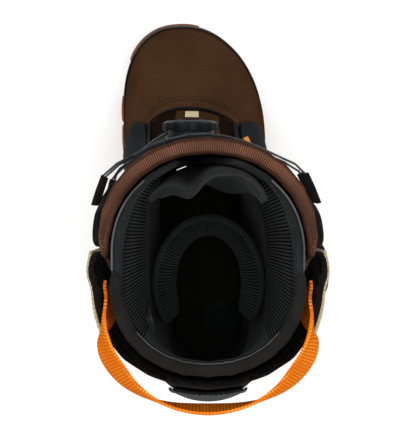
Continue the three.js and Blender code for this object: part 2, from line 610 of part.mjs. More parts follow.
// ---- liner ----
const LINER_FOOT_LEVEL = 0.2;
const LINER_TOP_LEVEL = 10.9;
const SLIT_LEVEL = 7.95; // foot of the V in the liner's front
const SLIT_HALF = 15.4; // half the V's width at the rim
const LINER_TONGUE_GAP = 2.5;
const linerIn = (u, level) => {
  const front = between(0.13, 0.06, sideU(u)) * between(5.6, 6.6, level);
  const wall = lerp(5.5, LINER_T, between(4, 7, level));
  return -lerp(wall, LINER_FRONT_T, front);
};
const LINER_LEVELS = [LINER_FOOT_LEVEL, 1, 2, 3, 4, 4.6, 5.3, 6, 7, 8, 9.3, 10.6];
function buildLiner() {
  const n = 32;
  const outer = LINER_LEVELS.map((l) => ringAt(l, 0, n));
  const edge = 1.2; // how far the rim's corners are set in
  const rims = [-edge, (u, l) => linerIn(u, l) + edge].map((off) => ringAt(LINER_TOP_LEVEL, off, n));
  const inner = LINER_LEVELS.slice(1).reverse().map((l) => ringAt(l, linerIn, n));
  const soleTop = stationAt(LINER_FOOT_LEVEL).zf + LINER_SOLE_T;
  inner.push(ringAt(0.45, -6.5, n, soleTop));
  const sock = loft([...outer, ...rims, ...inner]);
  // the front is slit open in a V, from the instep up past the rim
  const foot = bootPoint(0, SLIT_LEVEL);
  const rim = bootPoint(0, TOP);
  const past = 1.24; // share of the slit's height that the wedge covers
  const wedgeTop = lerp(foot.z, rim.z, past);
  const half = SLIT_HALF * SHAPE_WIDTH * past;
  const slit = new THREE.Shape([
    new THREE.Vector2(foot.x, foot.z),
    new THREE.Vector2(rim.x + half, wedgeTop),
    new THREE.Vector2(rim.x - half, wedgeTop),
  ]);
  const wedge = new THREE.ExtrudeGeometry(slit, { depth: foot.y * 2, bevelEnabled: false, steps: 1 });
  wedge.rotateX(PI / 2).translate(0, foot.y * 2, 0);
  add("liner", cut(sock, wedge), linerKnit);

  const tongueWhere = (s, t) => {
    const side = 2 * s - 1;
    return [side * lerp(0.055, 0.085, t), lerp(6.7, TOP, t)];
  };
  // the top edge leans back and curls in an S
  const curl = (s, t) => (3 + 3.2 * sin(s * 2 * PI)) * t ** 3;
  const tongueFace = (u, l, s, t) => linerIn(u, l) - LINER_TONGUE_GAP - curl(s, t);
  const tongueBack = (u, l, s, t) => tongueFace(u, l, s, t) - LINER_TONGUE_T - 3 * (1 - t ** 3);
  add("liner_tongue", panel(tongueWhere, tongueBack, tongueFace, 10, 7), linerKnit);

  // padded horseshoe round the ankle, open at the heel
  const [halfW, halfL] = [PAD_SEAT_W - LINER_T, PAD_SEAT_L - LINER_T];
  const pad = { x: 0.4, y: -40, halfW, halfL, top: 207, tall: 56, thick: 15, lean: 7.5, drop: 3 };
  const padLoops = [];
  const padSteps = 20;
  for (let i = 0; i <= padSteps; i++) {
    const a = lerp(-2.25, 2.2, i / padSteps);
    const end = abs(2 * (i / padSteps) - 1) ** 8;
    const tall = pad.tall * (1 - 0.35 * end);
    const thick = pad.thick * (1 - 0.45 * end);
    const loop = [];
    for (let k = 0; k < 8; k++) {
      const q = (k / 8) * 2 * PI;
      const down = (1 - cos(q)) / 2;
      const r = (thick / 2) * sin(q) * (1 - 0.25 * down) - pad.lean * down;
      const x = pad.x + (pad.halfW + r) * sin(a);
      const y = pad.y + (pad.halfL + r) * cos(a);
      loop.push(placed(x, y, pad.top - tall * down - pad.drop * end));
    }
    padLoops.push(loop);
  }
  add("ankle_pad", loft(padLoops), linerKnit);

  const bedZ = soleTop + GAP;
  const bedTop = bedZ + FOOTBED_T;
  add("footbed", loft([ringAt(0.7, -8.5, n, bedZ), ringAt(0.8, -8.2, n, bedTop)]), linerSmooth);
  const disc = new THREE.CylinderGeometry(14, 14.6, HEEL_PAD_T, 24).rotateX(PI / 2);
  const discZ = bedTop + GAP + HEEL_PAD_T / 2;
  add("heel_pad", disc.translate(10 * SHAPE_WIDTH, -84 * SHAPE_LENGTH, discZ), linerKnit);
}

// ---- lace dials ----
// In a dial's own frame +Z points away from the boot and z = 0 is the back of its base.
const DIAL = {
  flangeR: 17.2,
  flangeT: 6, // a thick foot, so that it fills the hollow under a flat base on a round leg
  wallR: 16.2,
  wallT: 3.4,
  wallTop: 10.4,
  postR: 3.2,
  postTop: 14.8,
  spoolR: 12.4,
  spoolCoreR: 9.3,
  spoolFlangeT: 0.65,
  spoolTop: 10.4,
  pawlR: 14.8,
  pawlT: 1.35,
  knobTop: 16.6,
  knobSkirtZ: 9.3,
  capR: 8.9,
  capT: 1.25,
};
const LACE_Z = (DIAL.flangeT + GAP + DIAL.spoolTop) / 2;
const KNOB_NOTCHES = 14;
const PAWL_TEETH = 18;
const SLOT_W = 8; // the gap in the base's wall where a lace passes

// The frame of something that stands on a layer: +Z along the normal, +Y up the boot.
function standOn(u, level, off) {
  const z = bootNormal(u, level);
  const up = bootPoint(u, level + 0.1).sub(bootPoint(u, level - 0.1));
  const y = up.addScaledVector(z, -up.dot(z)).normalize();
  const x = y.clone().cross(z);
  return new THREE.Matrix4().makeBasis(x, y, z).setPosition(layer(u, level, off));
}

function turned(profile, sides) {
  const g = new THREE.LatheGeometry(profile.map(([r, z]) => new THREE.Vector2(r, z)), sides);
  const solid = toSolid(g.rotateX(PI / 2));
  return solid.volume() < 0 ? flipped(mergedPlaces(g)) : g;
}

const dialPocket = (place, r = DIAL.flangeR + GAP) =>
  new THREE.CylinderGeometry(r, r, 20, 28)
    .rotateX(PI / 2)
    .translate(0, 0, 10 - GAP)
    .applyMatrix4(place);

function buildDial(prefix, { place, slots }) {
  const put = (name, g, material) => add(`${prefix}_${name}`, g.applyMatrix4(place), material);
  const d = DIAL;
  const floor = d.flangeT;
  const wallIn = d.wallR - d.wallT;
  const shell = turned(
    [
      [0, 0], [d.flangeR, 0], [d.flangeR, floor], [d.wallR, floor], [d.wallR, d.wallTop],
      [wallIn, d.wallTop], [wallIn, floor], [d.postR, floor], [d.postR, d.postTop], [0, d.postTop],
    ],
    24,
  );
  const slot = () => new THREE.BoxGeometry(d.wallT + 3, SLOT_W, d.wallTop);
  const slotPlace = [(d.wallR + wallIn) / 2, 0, floor + d.wallTop / 2 + 0.4];
  const slotCuts = slots.map((a) => slot().translate(...slotPlace).rotateZ(a));
  put("base", cut(shell, ...slotCuts), dialBlack);

  const bore = d.postR + GAP;
  const [low, high] = [floor + GAP, d.spoolTop];
  const rim = d.spoolFlangeT;
  const spool = turned(
    [
      [bore, low], [d.spoolR, low], [d.spoolR, low + rim], [d.spoolCoreR, low + rim],
      [d.spoolCoreR, high - rim], [d.spoolR, high - rim], [d.spoolR, high], [bore, high], [bore, low],
    ],
    20,
  );
  put("spool", spool, dialMetal);

  const teeth = new THREE.Shape();
  for (let i = 0; i < PAWL_TEETH; i++) {
    for (const [step, r] of [[0, d.pawlR - 1.2], [0.35, d.pawlR]]) {
      const a = ((i + step) / PAWL_TEETH) * 2 * PI;
      teeth[i || step ? "lineTo" : "moveTo"](r * cos(a), r * sin(a));
    }
  }
  teeth.closePath();
  teeth.holes.push(new THREE.Path().absarc(0, 0, bore, 0, 2 * PI, true));
  const pawlZ = d.spoolTop + GAP;
  const pawl = new THREE.ExtrudeGeometry(teeth, { depth: d.pawlT, bevelEnabled: false, curveSegments: 10 });
  put("pawl_ring", pawl.translate(0, 0, pawlZ), dialBlack);

  const roof = pawlZ + d.pawlT + GAP;
  const skirtIn = d.wallR + GAP;
  const recessZ = d.knobTop - 0.9;
  const socket = d.capR + GAP;
  const knob = turned(
    [
      [bore, roof], [skirtIn, roof], [skirtIn, d.knobSkirtZ], [KNOB_R, d.knobSkirtZ], [KNOB_R, d.knobTop - 2],
      [KNOB_R - 2.6, d.knobTop], [socket, d.knobTop], [socket, recessZ], [bore, recessZ], [bore, roof],
    ],
    28,
  );
  const notches = Array.from({ length: KNOB_NOTCHES }, (_, i) => {
    const notch = new THREE.BoxGeometry(1.9, 2.6, 16).translate(KNOB_R + 0.1, 0, d.knobTop);
    return notch.rotateZ((i / KNOB_NOTCHES) * 2 * PI);
  });
  put("knob", cut(knob, ...notches), dialBlack);

  const capZ = recessZ + GAP;
  const capTop = capZ + d.capT;
  const stemZ = d.postTop + GAP;
  const stem = [[0, stemZ], [d.postR, stemZ], [d.postR, capZ]];
  const cap = turned([...stem, [d.capR, capZ], [d.capR - 0.5, capTop], [0, capTop]], 20);
  put("cap", cap, dialBlack);
}

// ---- laces ----
const TONGUE_DIAL_LEVEL = 8;
const tongueDial = {
  place: standOn(0, TONGUE_DIAL_LEVEL, plateOut(0, TONGUE_DIAL_LEVEL) - DIAL_SINK),
  slots: [0, PI],
};
const SIDE_DIAL = [0.255, 8.5];
const sideDial = {
  place: standOn(...SIDE_DIAL, cuffOut(...SIDE_DIAL) + LAYER_GAP + PANEL_T - DIAL_SINK),
  slots: [-0.25 * PI, -0.5 * PI],
};
// A lace end in a dial: it leaves the spool and passes out through the slot.
function fromSpool(dial, slot, turn, beyond = []) {
  const at = (r, a, z) => {
    const around = new THREE.Vector3(r * cos(slot + a), r * sin(slot + a), z);
    return around.applyMatrix4(dial.place);
  };
  const start = [[10.5, 0.95], [10.4, 0.5], [13, 0.12], [17, 0]].map(([r, a]) => at(r, turn * a, LACE_Z));
  return [...start, ...beyond.map(([r, z]) => at(r, 0, z))];
}

const upperGuideLace = (u, level) => cuffOut(u, level) + GAP + GUIDE_T / 2;
const UPPER_TURN_U = 0.112; // how far back the lace reaches in a guide
const UPPER_MOUTH_U = 0.09;
const GUIDE_LEVELS = { low: [8.02, 8.3], top: [9.05, 9.35] };
// the lace's way through one guide, from its front mouth round and back to its front mouth
const turnIn = (side, [from, to]) => {
  const mid = (from + to) / 2;
  const nearTurn = UPPER_TURN_U - 0.004;
  return [
    [UPPER_MOUTH_U, from],
    [nearTurn, lerp(from, mid, 0.25)],
    [UPPER_TURN_U, mid],
    [nearTurn, lerp(to, mid, 0.25)],
    [UPPER_MOUTH_U, to],
  ].map(([u, level]) => layer(side * u, level, upperGuideLace(u, level)));
};
const reversed = ([a, b]) => [b, a];
// over the front of the tongue, from one side's guide to the other's
function acrossTongue(side, from, to, raise) {
  return [[0.064, 4.2], [0.034, 1.6], [0, 1.4 + raise], [-0.034, 1.6], [-0.064, 4.2]].map(([u, off], i) => {
    const level = lerp(from, to, (i + 1) / 6);
    return layer(side * u, level, plateOut(min(abs(u), PLATE_U), level) + off);
  });
}
const dialSide = (side, level) => [layer(side * 0.062, level - 0.01, plateOut(PLATE_U, level) + 3.1)];
const [LOW, HIGH] = [GUIDE_LEVELS.low, GUIDE_LEVELS.top];
const upperLaceRoute = [
  ...fromSpool(tongueDial, PI, 1),
  ...dialSide(1, LOW[0]),
  ...turnIn(1, LOW),
  ...acrossTongue(1, LOW[1], HIGH[0], 2),
  ...turnIn(-1, HIGH),
  ...acrossTongue(-1, HIGH[1], HIGH[1], 0),
  ...turnIn(1, reversed(HIGH)),
  ...acrossTongue(1, HIGH[0], LOW[1], 0),
  ...turnIn(-1, reversed(LOW)),
  ...dialSide(-1, LOW[0]),
  ...fromSpool(tongueDial, 0, 1).reverse(),
];
const LACE_STEPS = 58;
const upperLaceHole = tube(upperLaceRoute, LACE_HOLE_R, LACE_STEPS);

const onWing = OVERLAY_OUT + GAP + GUIDE_T / 2;
const LOWER_TOP_LEVEL = 6.38;
const LOWER_LOW_LEVEL = 5.85;
const LOWER_GUIDE_HALF = 0.15; // half a guide's height, in levels
const acrossInstep = (level) =>
  [0.09, 0.068, 0.036, 0, -0.036, -0.068, -0.09].map((u) =>
    layer(u, level, LOWER_TONGUE_OUT + lerp(1.4, 5, between(0.03, 0.09, abs(u)))),
  );
// radius and height of the lace past the side dial, over its foot and through the cuff
const OVER_THE_FOOT = [[19.4, 7.2], [21.4, 3.4], [24, -0.8], [27.5, -4.6]];
const turnLow = [[-0.108, 1], [-0.12, 0.85], [-0.124, 0.5], [-0.12, 0.15], [-0.108, 0]];
const lowerLevel = (t) => lerp(LOWER_LOW_LEVEL, LOWER_TOP_LEVEL, t);
const lowerLaceRoute = [
  ...fromSpool(sideDial, sideDial.slots[0], 1, OVER_THE_FOOT),
  layer(0.232, 7.75, cuffIn(0.232, 7.75) - 2.2),
  layer(0.205, 7.1, 8.4),
  layer(0.175, 6.5, 8.8),
  ...[0.15, 0.128, 0.108].map((u) => layer(u, LOWER_TOP_LEVEL + 0.06 * between(0.128, 0.15, u), onWing)),
  ...acrossInstep(LOWER_TOP_LEVEL),
  ...turnLow.map(([u, t]) => layer(u, lowerLevel(t), onWing)),
  ...acrossInstep(LOWER_LOW_LEVEL).reverse(),
  ...[0.108, 0.128, 0.15].map((u) => layer(u, LOWER_LOW_LEVEL + 0.12 * between(0.12, 0.15, u), onWing)),
  layer(0.182, 6.15, 8.8),
  layer(0.215, 6.9, 8.4),
  layer(0.248, 7.45, cuffIn(0.248, 7.45) - 2.2),
  ...fromSpool(sideDial, sideDial.slots[1], -1, OVER_THE_FOOT).reverse(),
];
const lowerLaceHole = tube(lowerLaceRoute, LACE_HOLE_R, LACE_STEPS);

function buildLaces() {
  add("upper_lace", tube(upperLaceRoute, LACE_D / 2, LACE_STEPS), laceSteel);
  add("lower_lace", tube(lowerLaceRoute, LACE_D / 2, LACE_STEPS), laceSteel);

  const block = (u0, u1, l0, l1, foot) => {
    const where = (s, t) => [lerp(u0, u1, s), lerp(l0, l1, t)];
    return panel(where, (u, l) => foot(u, l) + GAP, (u, l) => foot(u, l) + GAP + GUIDE_T, 2, 2);
  };
  for (const [sideName, side] of [["outer", 1], ["inner", -1]]) {
    for (const [height, [from, to]] of Object.entries(GUIDE_LEVELS)) {
      const ends = [side * (UPPER_MOUTH_U + 0.002), side * (UPPER_TURN_U + 0.01)];
      const body = block(...ends, from - 0.1, to + 0.1, cuffOut);
      add(`upper_guide_${sideName}_${height}`, cut(body, upperLaceHole), blackSynthetic);
    }
    for (const [height, level] of [["low", LOWER_LOW_LEVEL], ["top", LOWER_TOP_LEVEL]]) {
      const [low, top] = [level - LOWER_GUIDE_HALF, level + LOWER_GUIDE_HALF];
      const body = block(side * 0.106, side * 0.134, low, top, () => OVERLAY_OUT);
      add(`lower_guide_${sideName}_${height}`, cut(body, lowerLaceHole), blackSynthetic);
    }
  }
}

// ---- pull loop ----
function buildPullLoop() {
  const line = [];
  const widthways = [];
  // share of the way round, height over the cuff's rim, distance from the liner, and lean of the
  // webbing: the loop starts inside the rim, crosses over it and stands upright behind the calf
  const stops = [
    [0.366, -2.025, 3.3, -0.12],
    [0.374, 7.17, 4.2, -0.1],
    [0.384, 19.354, 6.6, 0.08],
    [0.4, 21.424, 9.8, 0.4],
    [0.418, 17.225, 13, 0.5],
    [0.44, 10.705, 16.5, 0.4],
    [0.467, 4.2, 18.5, 0.18],
    [0.5, 0.613, 18.5, 0],
  ];
  const back = stops.slice(0, -1).reverse();
  const around = [...stops.map((p) => [-1, ...p]), ...back.map((p) => [1, ...p])];
  for (const [side, a, over, off, lean] of around) {
    const u = side * a;
    const p = layer(u, cuffTop(a), off);
    p.z += over;
    line.push(p);
    const out = bootNormal(u, cuffTop(a)).setZ(0).normalize();
    widthways.push(out.multiplyScalar(lean).add(new THREE.Vector3(0, 0, -sqrt(1 - lean * lean))));
  }
  const curve = new THREE.CatmullRomCurve3(line, false, "centripetal");
  const turn = new THREE.CatmullRomCurve3(widthways, false, "centripetal");
  const steps = 34;
  const [middles, directions] = [curve, turn].map((c) => c.getPoints(steps));
  add("pull_loop", strap(middles, directions, WEB_W, WEB_T), orangeWebbing);
}

// ---- liner trim ----
function buildLinerTrim() {
  // smooth padded roll on the back of the rim
  const rollLoops = [];
  const rollSteps = 22;
  for (let i = 0; i <= rollSteps; i++) {
    const u = lerp(0.262, 0.738, i / rollSteps);
    const end = pow(abs((2 * i) / rollSteps - 1), 10);
    const middle = layer(u, LINER_TOP_LEVEL, -LINER_T / 2 - 0.3);
    const out = bootNormal(u, LINER_TOP_LEVEL).setZ(0).normalize();
    const wide = 4 * (1 - 0.5 * end);
    const tall = 2.6 * (1 - 0.4 * end);
    middle.z += tall + GAP + 0.4;
    rollLoops.push(
      Array.from({ length: 8 }, (_, k) => {
        const q = (k / 8) * 2 * PI;
        const place = middle.clone().addScaledVector(out, wide * cos(q));
        return place.setZ(middle.z + tall * sin(q));
      }),
    );
  }
  add("liner_collar", loft(rollLoops), linerSmooth);

  for (const [name, side] of [["outer", 1], ["inner", -1]]) {
    const route = Array.from({ length: 9 }, (_, i) => {
      const u = side * lerp(0.066, 0.252, i / 8);
      const p = layer(u, LINER_TOP_LEVEL, -1.9);
      p.z += PIPING_D / 2 + GAP + 0.2;
      return p;
    });
    add(`liner_piping_${name}`, tube(route, PIPING_D / 2, 18), greyPiping);
  }

  const label = (w, h, ...place) => new THREE.BoxGeometry(w, h, LABEL_T).applyMatrix4(standOn(...place));
  add("liner_label", label(13, 9, -0.026, 10.93, -5.2), whiteLabel);
  add("size_label", label(10, 14, 0.3, 9.95, 0.75), redLabel);

  // webbing loop on the inner side of the heel, a triangle with an open middle
  const corners = (list) => list.map(([x, y]) => new THREE.Vector2(x, y));
  const loop = new THREE.Shape(corners([[-9, -9], [9, -9], [0, 9]]));
  loop.holes.push(new THREE.Path(corners([[-5.4, -6.8], [0, 4.6], [5.4, -6.8]])));
  const triangle = new THREE.ExtrudeGeometry(loop, { depth: 1.6, bevelEnabled: false });
  add("harness_loop", triangle.applyMatrix4(standOn(0.615, 8.9, -LINER_T - 3.6)), greyPiping);
}

buildSole();
buildLowerShell();
buildTongue();
buildCuff();
buildDial("tongue_dial", tongueDial);
buildDial("side_dial", sideDial);
buildLaces();
buildPullLoop();
buildLiner();
buildLinerTrim();
export default boot;
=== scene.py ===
import json
import math
import bpy
import bmesh
from mathutils import Matrix, Vector
from mathutils.bvhtree import BVHTree


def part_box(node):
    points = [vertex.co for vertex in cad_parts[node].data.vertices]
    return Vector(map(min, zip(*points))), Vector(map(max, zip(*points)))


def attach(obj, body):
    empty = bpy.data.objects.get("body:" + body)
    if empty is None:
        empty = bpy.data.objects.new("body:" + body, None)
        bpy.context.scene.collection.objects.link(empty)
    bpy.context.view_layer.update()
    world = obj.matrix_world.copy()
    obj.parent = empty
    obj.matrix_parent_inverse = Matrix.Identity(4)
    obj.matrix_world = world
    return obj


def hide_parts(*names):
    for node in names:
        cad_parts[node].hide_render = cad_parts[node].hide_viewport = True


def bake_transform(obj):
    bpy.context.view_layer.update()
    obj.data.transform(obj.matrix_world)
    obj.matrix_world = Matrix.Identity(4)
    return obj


# A right-foot snowboard boot seen from straight above, standing on a pale floor.
# Metres, +Z up, +Y to the toe, +X to the outer side of the foot.

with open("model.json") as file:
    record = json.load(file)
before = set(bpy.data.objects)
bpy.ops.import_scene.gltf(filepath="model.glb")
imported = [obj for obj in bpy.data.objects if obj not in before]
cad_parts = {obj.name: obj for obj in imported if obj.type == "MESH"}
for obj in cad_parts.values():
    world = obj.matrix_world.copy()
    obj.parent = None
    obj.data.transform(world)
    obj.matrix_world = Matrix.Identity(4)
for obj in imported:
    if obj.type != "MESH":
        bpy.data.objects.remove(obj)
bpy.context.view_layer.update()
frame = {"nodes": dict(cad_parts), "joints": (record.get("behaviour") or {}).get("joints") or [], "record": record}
nodes = frame["nodes"]
scene = bpy.context.scene
bodyOf = {n: b for b, names in frame["record"]["behaviour"]["bodies"].items() for n in names}
print("frame loaded:", len(nodes), "nodes")

# The camera looks straight down, and four soft lights and a pale sky leave hardly a shadow.
studio = {
    "cameraHeight": 0.75, "lens": 68.7, "sensorWidth": 36, "floorHalf": 3.0, "floorColour": "#fbfbfa",
    "skyStrength": 0.36, "aim": (0, 0, 0.12),
    "lights": {  # place, power and size
        "topLight": ((0.05, -0.05, 1.6), 13.0, 1.0),
        "keyLight": ((-0.75, 0.55, 1.35), 9.5, 1.2),
        "fillLight": ((0.85, 0.1, 1.2), 6.0, 1.2),
        "frontLight": ((0.0, -1.0, 1.0), 4.5, 1.0),
    },
}
legAxis = (0.0, -0.03)  # the upright line through the leg


def linear(hexColour):  # sRGB hex to the linear colour that the shader wants
    parts = [int(hexColour[i:i + 2], 16) / 255 for i in (1, 3, 5)]
    return [p / 12.92 if p <= 0.04045 else ((p + 0.055) / 1.055) ** 2.4 for p in parts] + [1.0]


def addNode(tree, kind, inputs=None, **settings):
    node = tree.nodes.new(kind)
    for key, value in settings.items():
        setattr(node, key, value)
    for socket, value in (inputs or {}).items():
        if isinstance(value, bpy.types.NodeSocket):
            tree.links.new(value, node.inputs[socket])
        else:
            node.inputs[socket].default_value = value
    return node


camera = bpy.data.objects.new("camera", bpy.data.cameras.new("camera"))
scene.collection.objects.link(camera)
camera.location = (0, 0, studio["cameraHeight"])
camera.data.lens = studio["lens"]
camera.data.sensor_width = studio["sensorWidth"]
scene.camera = camera
scene.view_settings.view_transform = "Standard"

world = bpy.data.worlds.new("studio")
scene.world = world
world.use_nodes = True
sky = world.node_tree.nodes["Background"]
sky.inputs["Color"].default_value = (1, 1, 1, 1)
sky.inputs["Strength"].default_value = studio["skyStrength"]
for name, (place, power, size) in studio["lights"].items():
    light = bpy.data.objects.new(name, bpy.data.lights.new(name, "AREA"))
    light.data.energy = power
    light.data.size = size
    light.location = place
    light.rotation_euler = (Vector(studio["aim"]) - Vector(place)).to_track_quat("-Z", "Y").to_euler()
    scene.collection.objects.link(light)


def startMaterial(name, colour, roughness, **sockets):
    material = bpy.data.materials.new(name)
    material.use_nodes = True
    tree = material.node_tree
    shader = tree.nodes["Principled BSDF"]
    shader.inputs["Base Color"].default_value = linear(colour)
    shader.inputs["Roughness"].default_value = roughness
    for socket, value in sockets.items():
        shader.inputs[socket.replace("_", " ")].default_value = value
    return material, tree, shader


def paintRamp(ramp, *stops):  # each stop is a place from 0 to 1 and a colour
    for element, (place, colour) in zip(ramp.color_ramp.elements, stops):
        element.position = place
        element.color = linear(colour)


# Threads that cross at right angles on the piece's own map, which is in metres. Cloth has
# no clear shine, so its specular level is 0 and a little sheen stands for the loose fibres.
waveRepeat = 0.314  # Blender's wave texture repeats this often at scale 1


def wovenMaterial(name, look):
    material, tree, shader = startMaterial(
        name, look["light"], look["roughness"], Sheen_Weight=look.get("sheen", 0.0),
        Sheen_Roughness=0.5, Specular_IOR_Level=0.0)
    place = addNode(tree, "ShaderNodeTexCoord")
    threads = [
        addNode(tree, "ShaderNodeTexWave", {
            "Vector": place.outputs["UV"], "Scale": waveRepeat / spacing,
            "Distortion": look.get("unevenness", 0.4), "Detail": 1.0, "Detail Scale": 2.0,
        }, bands_direction=direction, wave_profile="SIN").outputs["Fac"]
        for direction, spacing in (("X", look["across"]), ("Y", look["along"]))
    ]
    weave = addNode(tree, "ShaderNodeMath", {0: threads[0], 1: threads[1]},
                    operation=look.get("cross", "MAXIMUM"))
    clouds = addNode(tree, "ShaderNodeTexNoise", {
        "Vector": place.outputs["Object"], "Scale": look.get("cloudScale", 45.0), "Detail": 4.0,
        "Roughness": 0.6})
    shade = addNode(tree, "ShaderNodeMath", {0: weave.outputs[0], 1: clouds.outputs["Fac"]},
                    operation="MULTIPLY")
    ramp = addNode(tree, "ShaderNodeValToRGB", {"Fac": shade.outputs[0]})
    paintRamp(ramp, (0.08, look["dark"]), (0.62, look["light"]))
    tree.links.new(ramp.outputs["Color"], shader.inputs["Base Color"])
    bump = addNode(tree, "ShaderNodeBump", {
        "Height": weave.outputs[0], "Strength": look.get("bump", 0.5),
        "Distance": look.get("relief", 0.0003)})
    tree.links.new(bump.outputs["Normal"], shader.inputs["Normal"])
    return material, tree, shader, ramp


# Moulded or coated surfaces: a fine grain, and a slow change of tone.
def mouldedMaterial(name, look):
    material, tree, shader = startMaterial(
        name, look["light"], look["roughness"], Metallic=look.get("metallic", 0.0),
        Specular_IOR_Level=look.get("specular", 0.1))
    place = addNode(tree, "ShaderNodeTexCoord")
    grain = addNode(tree, "ShaderNodeTexNoise", {
        "Vector": place.outputs["Object"], "Scale": 1 / look["grain"], "Detail": 3.0, "Roughness": 0.55})
    tone = addNode(tree, "ShaderNodeTexNoise", {
        "Vector": place.outputs["Object"], "Scale": 30.0, "Detail": 3.0, "Roughness": 0.5})
    ramp = addNode(tree, "ShaderNodeValToRGB", {"Fac": tone.outputs["Fac"]})
    paintRamp(ramp, (0.32, look["dark"]), (0.68, look["light"]))
    tree.links.new(ramp.outputs["Color"], shader.inputs["Base Color"])
    rough = addNode(tree, "ShaderNodeMapRange", {
        "Value": grain.outputs["Fac"], "To Min": look["roughness"] - 0.08, "To Max": look["roughness"] + 0.1})
    tree.links.new(rough.outputs["Result"], shader.inputs["Roughness"])
    bump = addNode(tree, "ShaderNodeBump", {
        "Height": grain.outputs["Fac"], "Strength": look.get("bump", 0.3),
        "Distance": look.get("relief", 0.0002)})
    tree.links.new(bump.outputs["Normal"], shader.inputs["Normal"])
    return material


# Coated canvas of about 1 mm threads: a dry brown with the threads just showing.
vampCanvas = wovenMaterial("coatedCanvas", {
    "dark": "#312012", "light": "#483121", "roughness": 0.72, "across": 0.0012, "along": 0.0012,
    "relief": 0.00025, "cloudScale": 30.0})[0]
# Padded pack cloth, 1.3 mm threads: near black, a little warm.
packLook = {"dark": "#080706", "light": "#24201c", "roughness": 0.8, "sheen": 0.03, "across": 0.0013,
            "along": 0.0013, "relief": 0.0003}
packCloth = wovenMaterial("packCloth", packLook)[0]
# Open spacer mesh with 1.9 mm cells, where air passes: dark holes between light threads.
spacerMesh = wovenMaterial("spacerMesh", {
    "dark": "#050505", "light": "#262423", "roughness": 0.75, "sheen": 0.03, "across": 0.0019,
    "along": 0.0019, "cross": "MULTIPLY", "relief": 0.0006, "bump": 0.8, "unevenness": 0.8})[0]
# Brushed knit over foam, drawn with 1 mm loops: matt black with a soft bloom.
liningKnit = wovenMaterial("brushedKnit", {
    "dark": "#0b0c0c", "light": "#2c2e2f", "roughness": 0.85, "sheen": 0.04, "across": 0.001,
    "along": 0.001, "relief": 0.0002, "unevenness": 1.2})[0]
# Woven jacquard panel: off-white ribs 2.1 mm apart.
creamLight = "#e3d6ba"
panelWeave = wovenMaterial("ribbedPanelWeave", {
    "dark": "#a89b7c", "light": creamLight, "roughness": 0.8, "across": 0.0021, "along": 0.0008,
    "relief": 0.0004, "bump": 0.7, "cross": "MULTIPLY"})[0]
# Smooth stretch fabric glued over foam: an even dark grey.
collarCloth = wovenMaterial("stretchFabric", {
    "dark": "#121110", "light": "#242220", "roughness": 0.7, "sheen": 0.03, "across": 0.0009,
    "along": 0.0009, "relief": 0.0001, "bump": 0.25})[0]
# Grosgrain tape: cords 1.2 mm apart across the tape, brown with a soft shine.
grosgrain = wovenMaterial("grosgrainTape", {
    "dark": "#3d281f", "light": "#7a5341", "roughness": 0.66, "across": 0.0012, "along": 0.02,
    "relief": 0.0004, "bump": 0.7, "cross": "MULTIPLY", "unevenness": 0.0})[0]
# Nylon pull webbing: hard ribs across, every 1.9 mm, bright orange with dark valleys.
webbing = wovenMaterial("nylonWebbing", {
    "dark": "#d0620f", "light": "#ffb040", "roughness": 0.8, "across": 0.0019, "along": 0.0022,
    "relief": 0.0005, "bump": 0.8, "cross": "MULTIPLY", "unevenness": 0.15})[0]
# A darker copy of the same knit for the faces down between the ribs: painted shade, where no light reaches.
knitPaintedShade = wovenMaterial("brushedKnitPaintedShade", {
    "dark": "#020202", "light": "#0a0b0b", "roughness": 0.9, "across": 0.001, "along": 0.001,
    "relief": 0.0002})[0]
# Woven tags and a woven tab, drawn with threads just under 1 mm: flat, with no shine.
labelRed = wovenMaterial("wovenRedLabel", {
    "dark": "#4c141c", "light": "#93303d", "roughness": 0.6, "across": 0.0008, "along": 0.0008})[0]
labelWhite = wovenMaterial("wovenWhiteLabel", {
    "dark": "#9b9b97", "light": "#e6e6e2", "roughness": 0.6, "across": 0.0008, "along": 0.0008})[0]
tabCream = wovenMaterial("wovenCreamTab", {
    "dark": "#a99c7c", "light": "#d9ccab", "roughness": 0.65, "across": 0.0009, "along": 0.0009})[0]
tabOrange = mouldedMaterial("mouldedOrangeTab", {  # soft PVC, satin
    "dark": "#c9780f", "light": "#eb9a1e", "roughness": 0.5, "grain": 0.0012})
# Polyurethane-coated synthetic leather: black, satin, with a 0.8 mm grain.
coatedLeather = mouldedMaterial("coatedSynthetic", {
    "dark": "#0c0d0e", "light": "#191b1d", "roughness": 0.66, "grain": 0.0008, "bump": 0.35,
    "relief": 0.00015, "specular": 0.08})
# Moulded rubber rand: dark grey, a dusty matt.
randRubber = mouldedMaterial("mouldedRandRubber", {
    "dark": "#211f1d", "light": "#3a3633", "roughness": 0.62, "grain": 0.0007, "relief": 0.0001})
# Gum rubber outsole: rust brown, slightly soft.
gumRubber = mouldedMaterial("mouldedGumRubber", {
    "dark": "#63341f", "light": "#8f5032", "roughness": 0.6, "grain": 0.0009, "relief": 0.0001})
# EVA midsole foam: off-white with fine closed pores.
foamEva = mouldedMaterial("mouldedEvaFoam", {
    "dark": "#cfccc8", "light": "#e9e7e4", "roughness": 0.7, "grain": 0.0006, "relief": 0.0001,
    "specular": 0.3})
# Extruded PVC piping: mid grey, satin.
pipingPvc = mouldedMaterial("extrudedPiping", {
    "dark": "#3c3c3c", "light": "#565656", "roughness": 0.42, "grain": 0.001, "relief": 0.00004})
# Glass-filled nylon of the lace dials: black with a fine spark-eroded texture.
dialNylon = mouldedMaterial("mouldedNylon", {
    "dark": "#0d0f10", "light": "#1a1d20", "roughness": 0.4, "grain": 0.0005, "relief": 0.00005,
    "specular": 0.12})
# Anodised aluminium spools: a metal with a fine matt etch.
anodised = mouldedMaterial("anodisedAluminium", {
    "dark": "#7a7c7e", "light": "#9a9c9e", "roughness": 0.32, "grain": 0.0006, "relief": 0.00002,
    "metallic": 1.0})
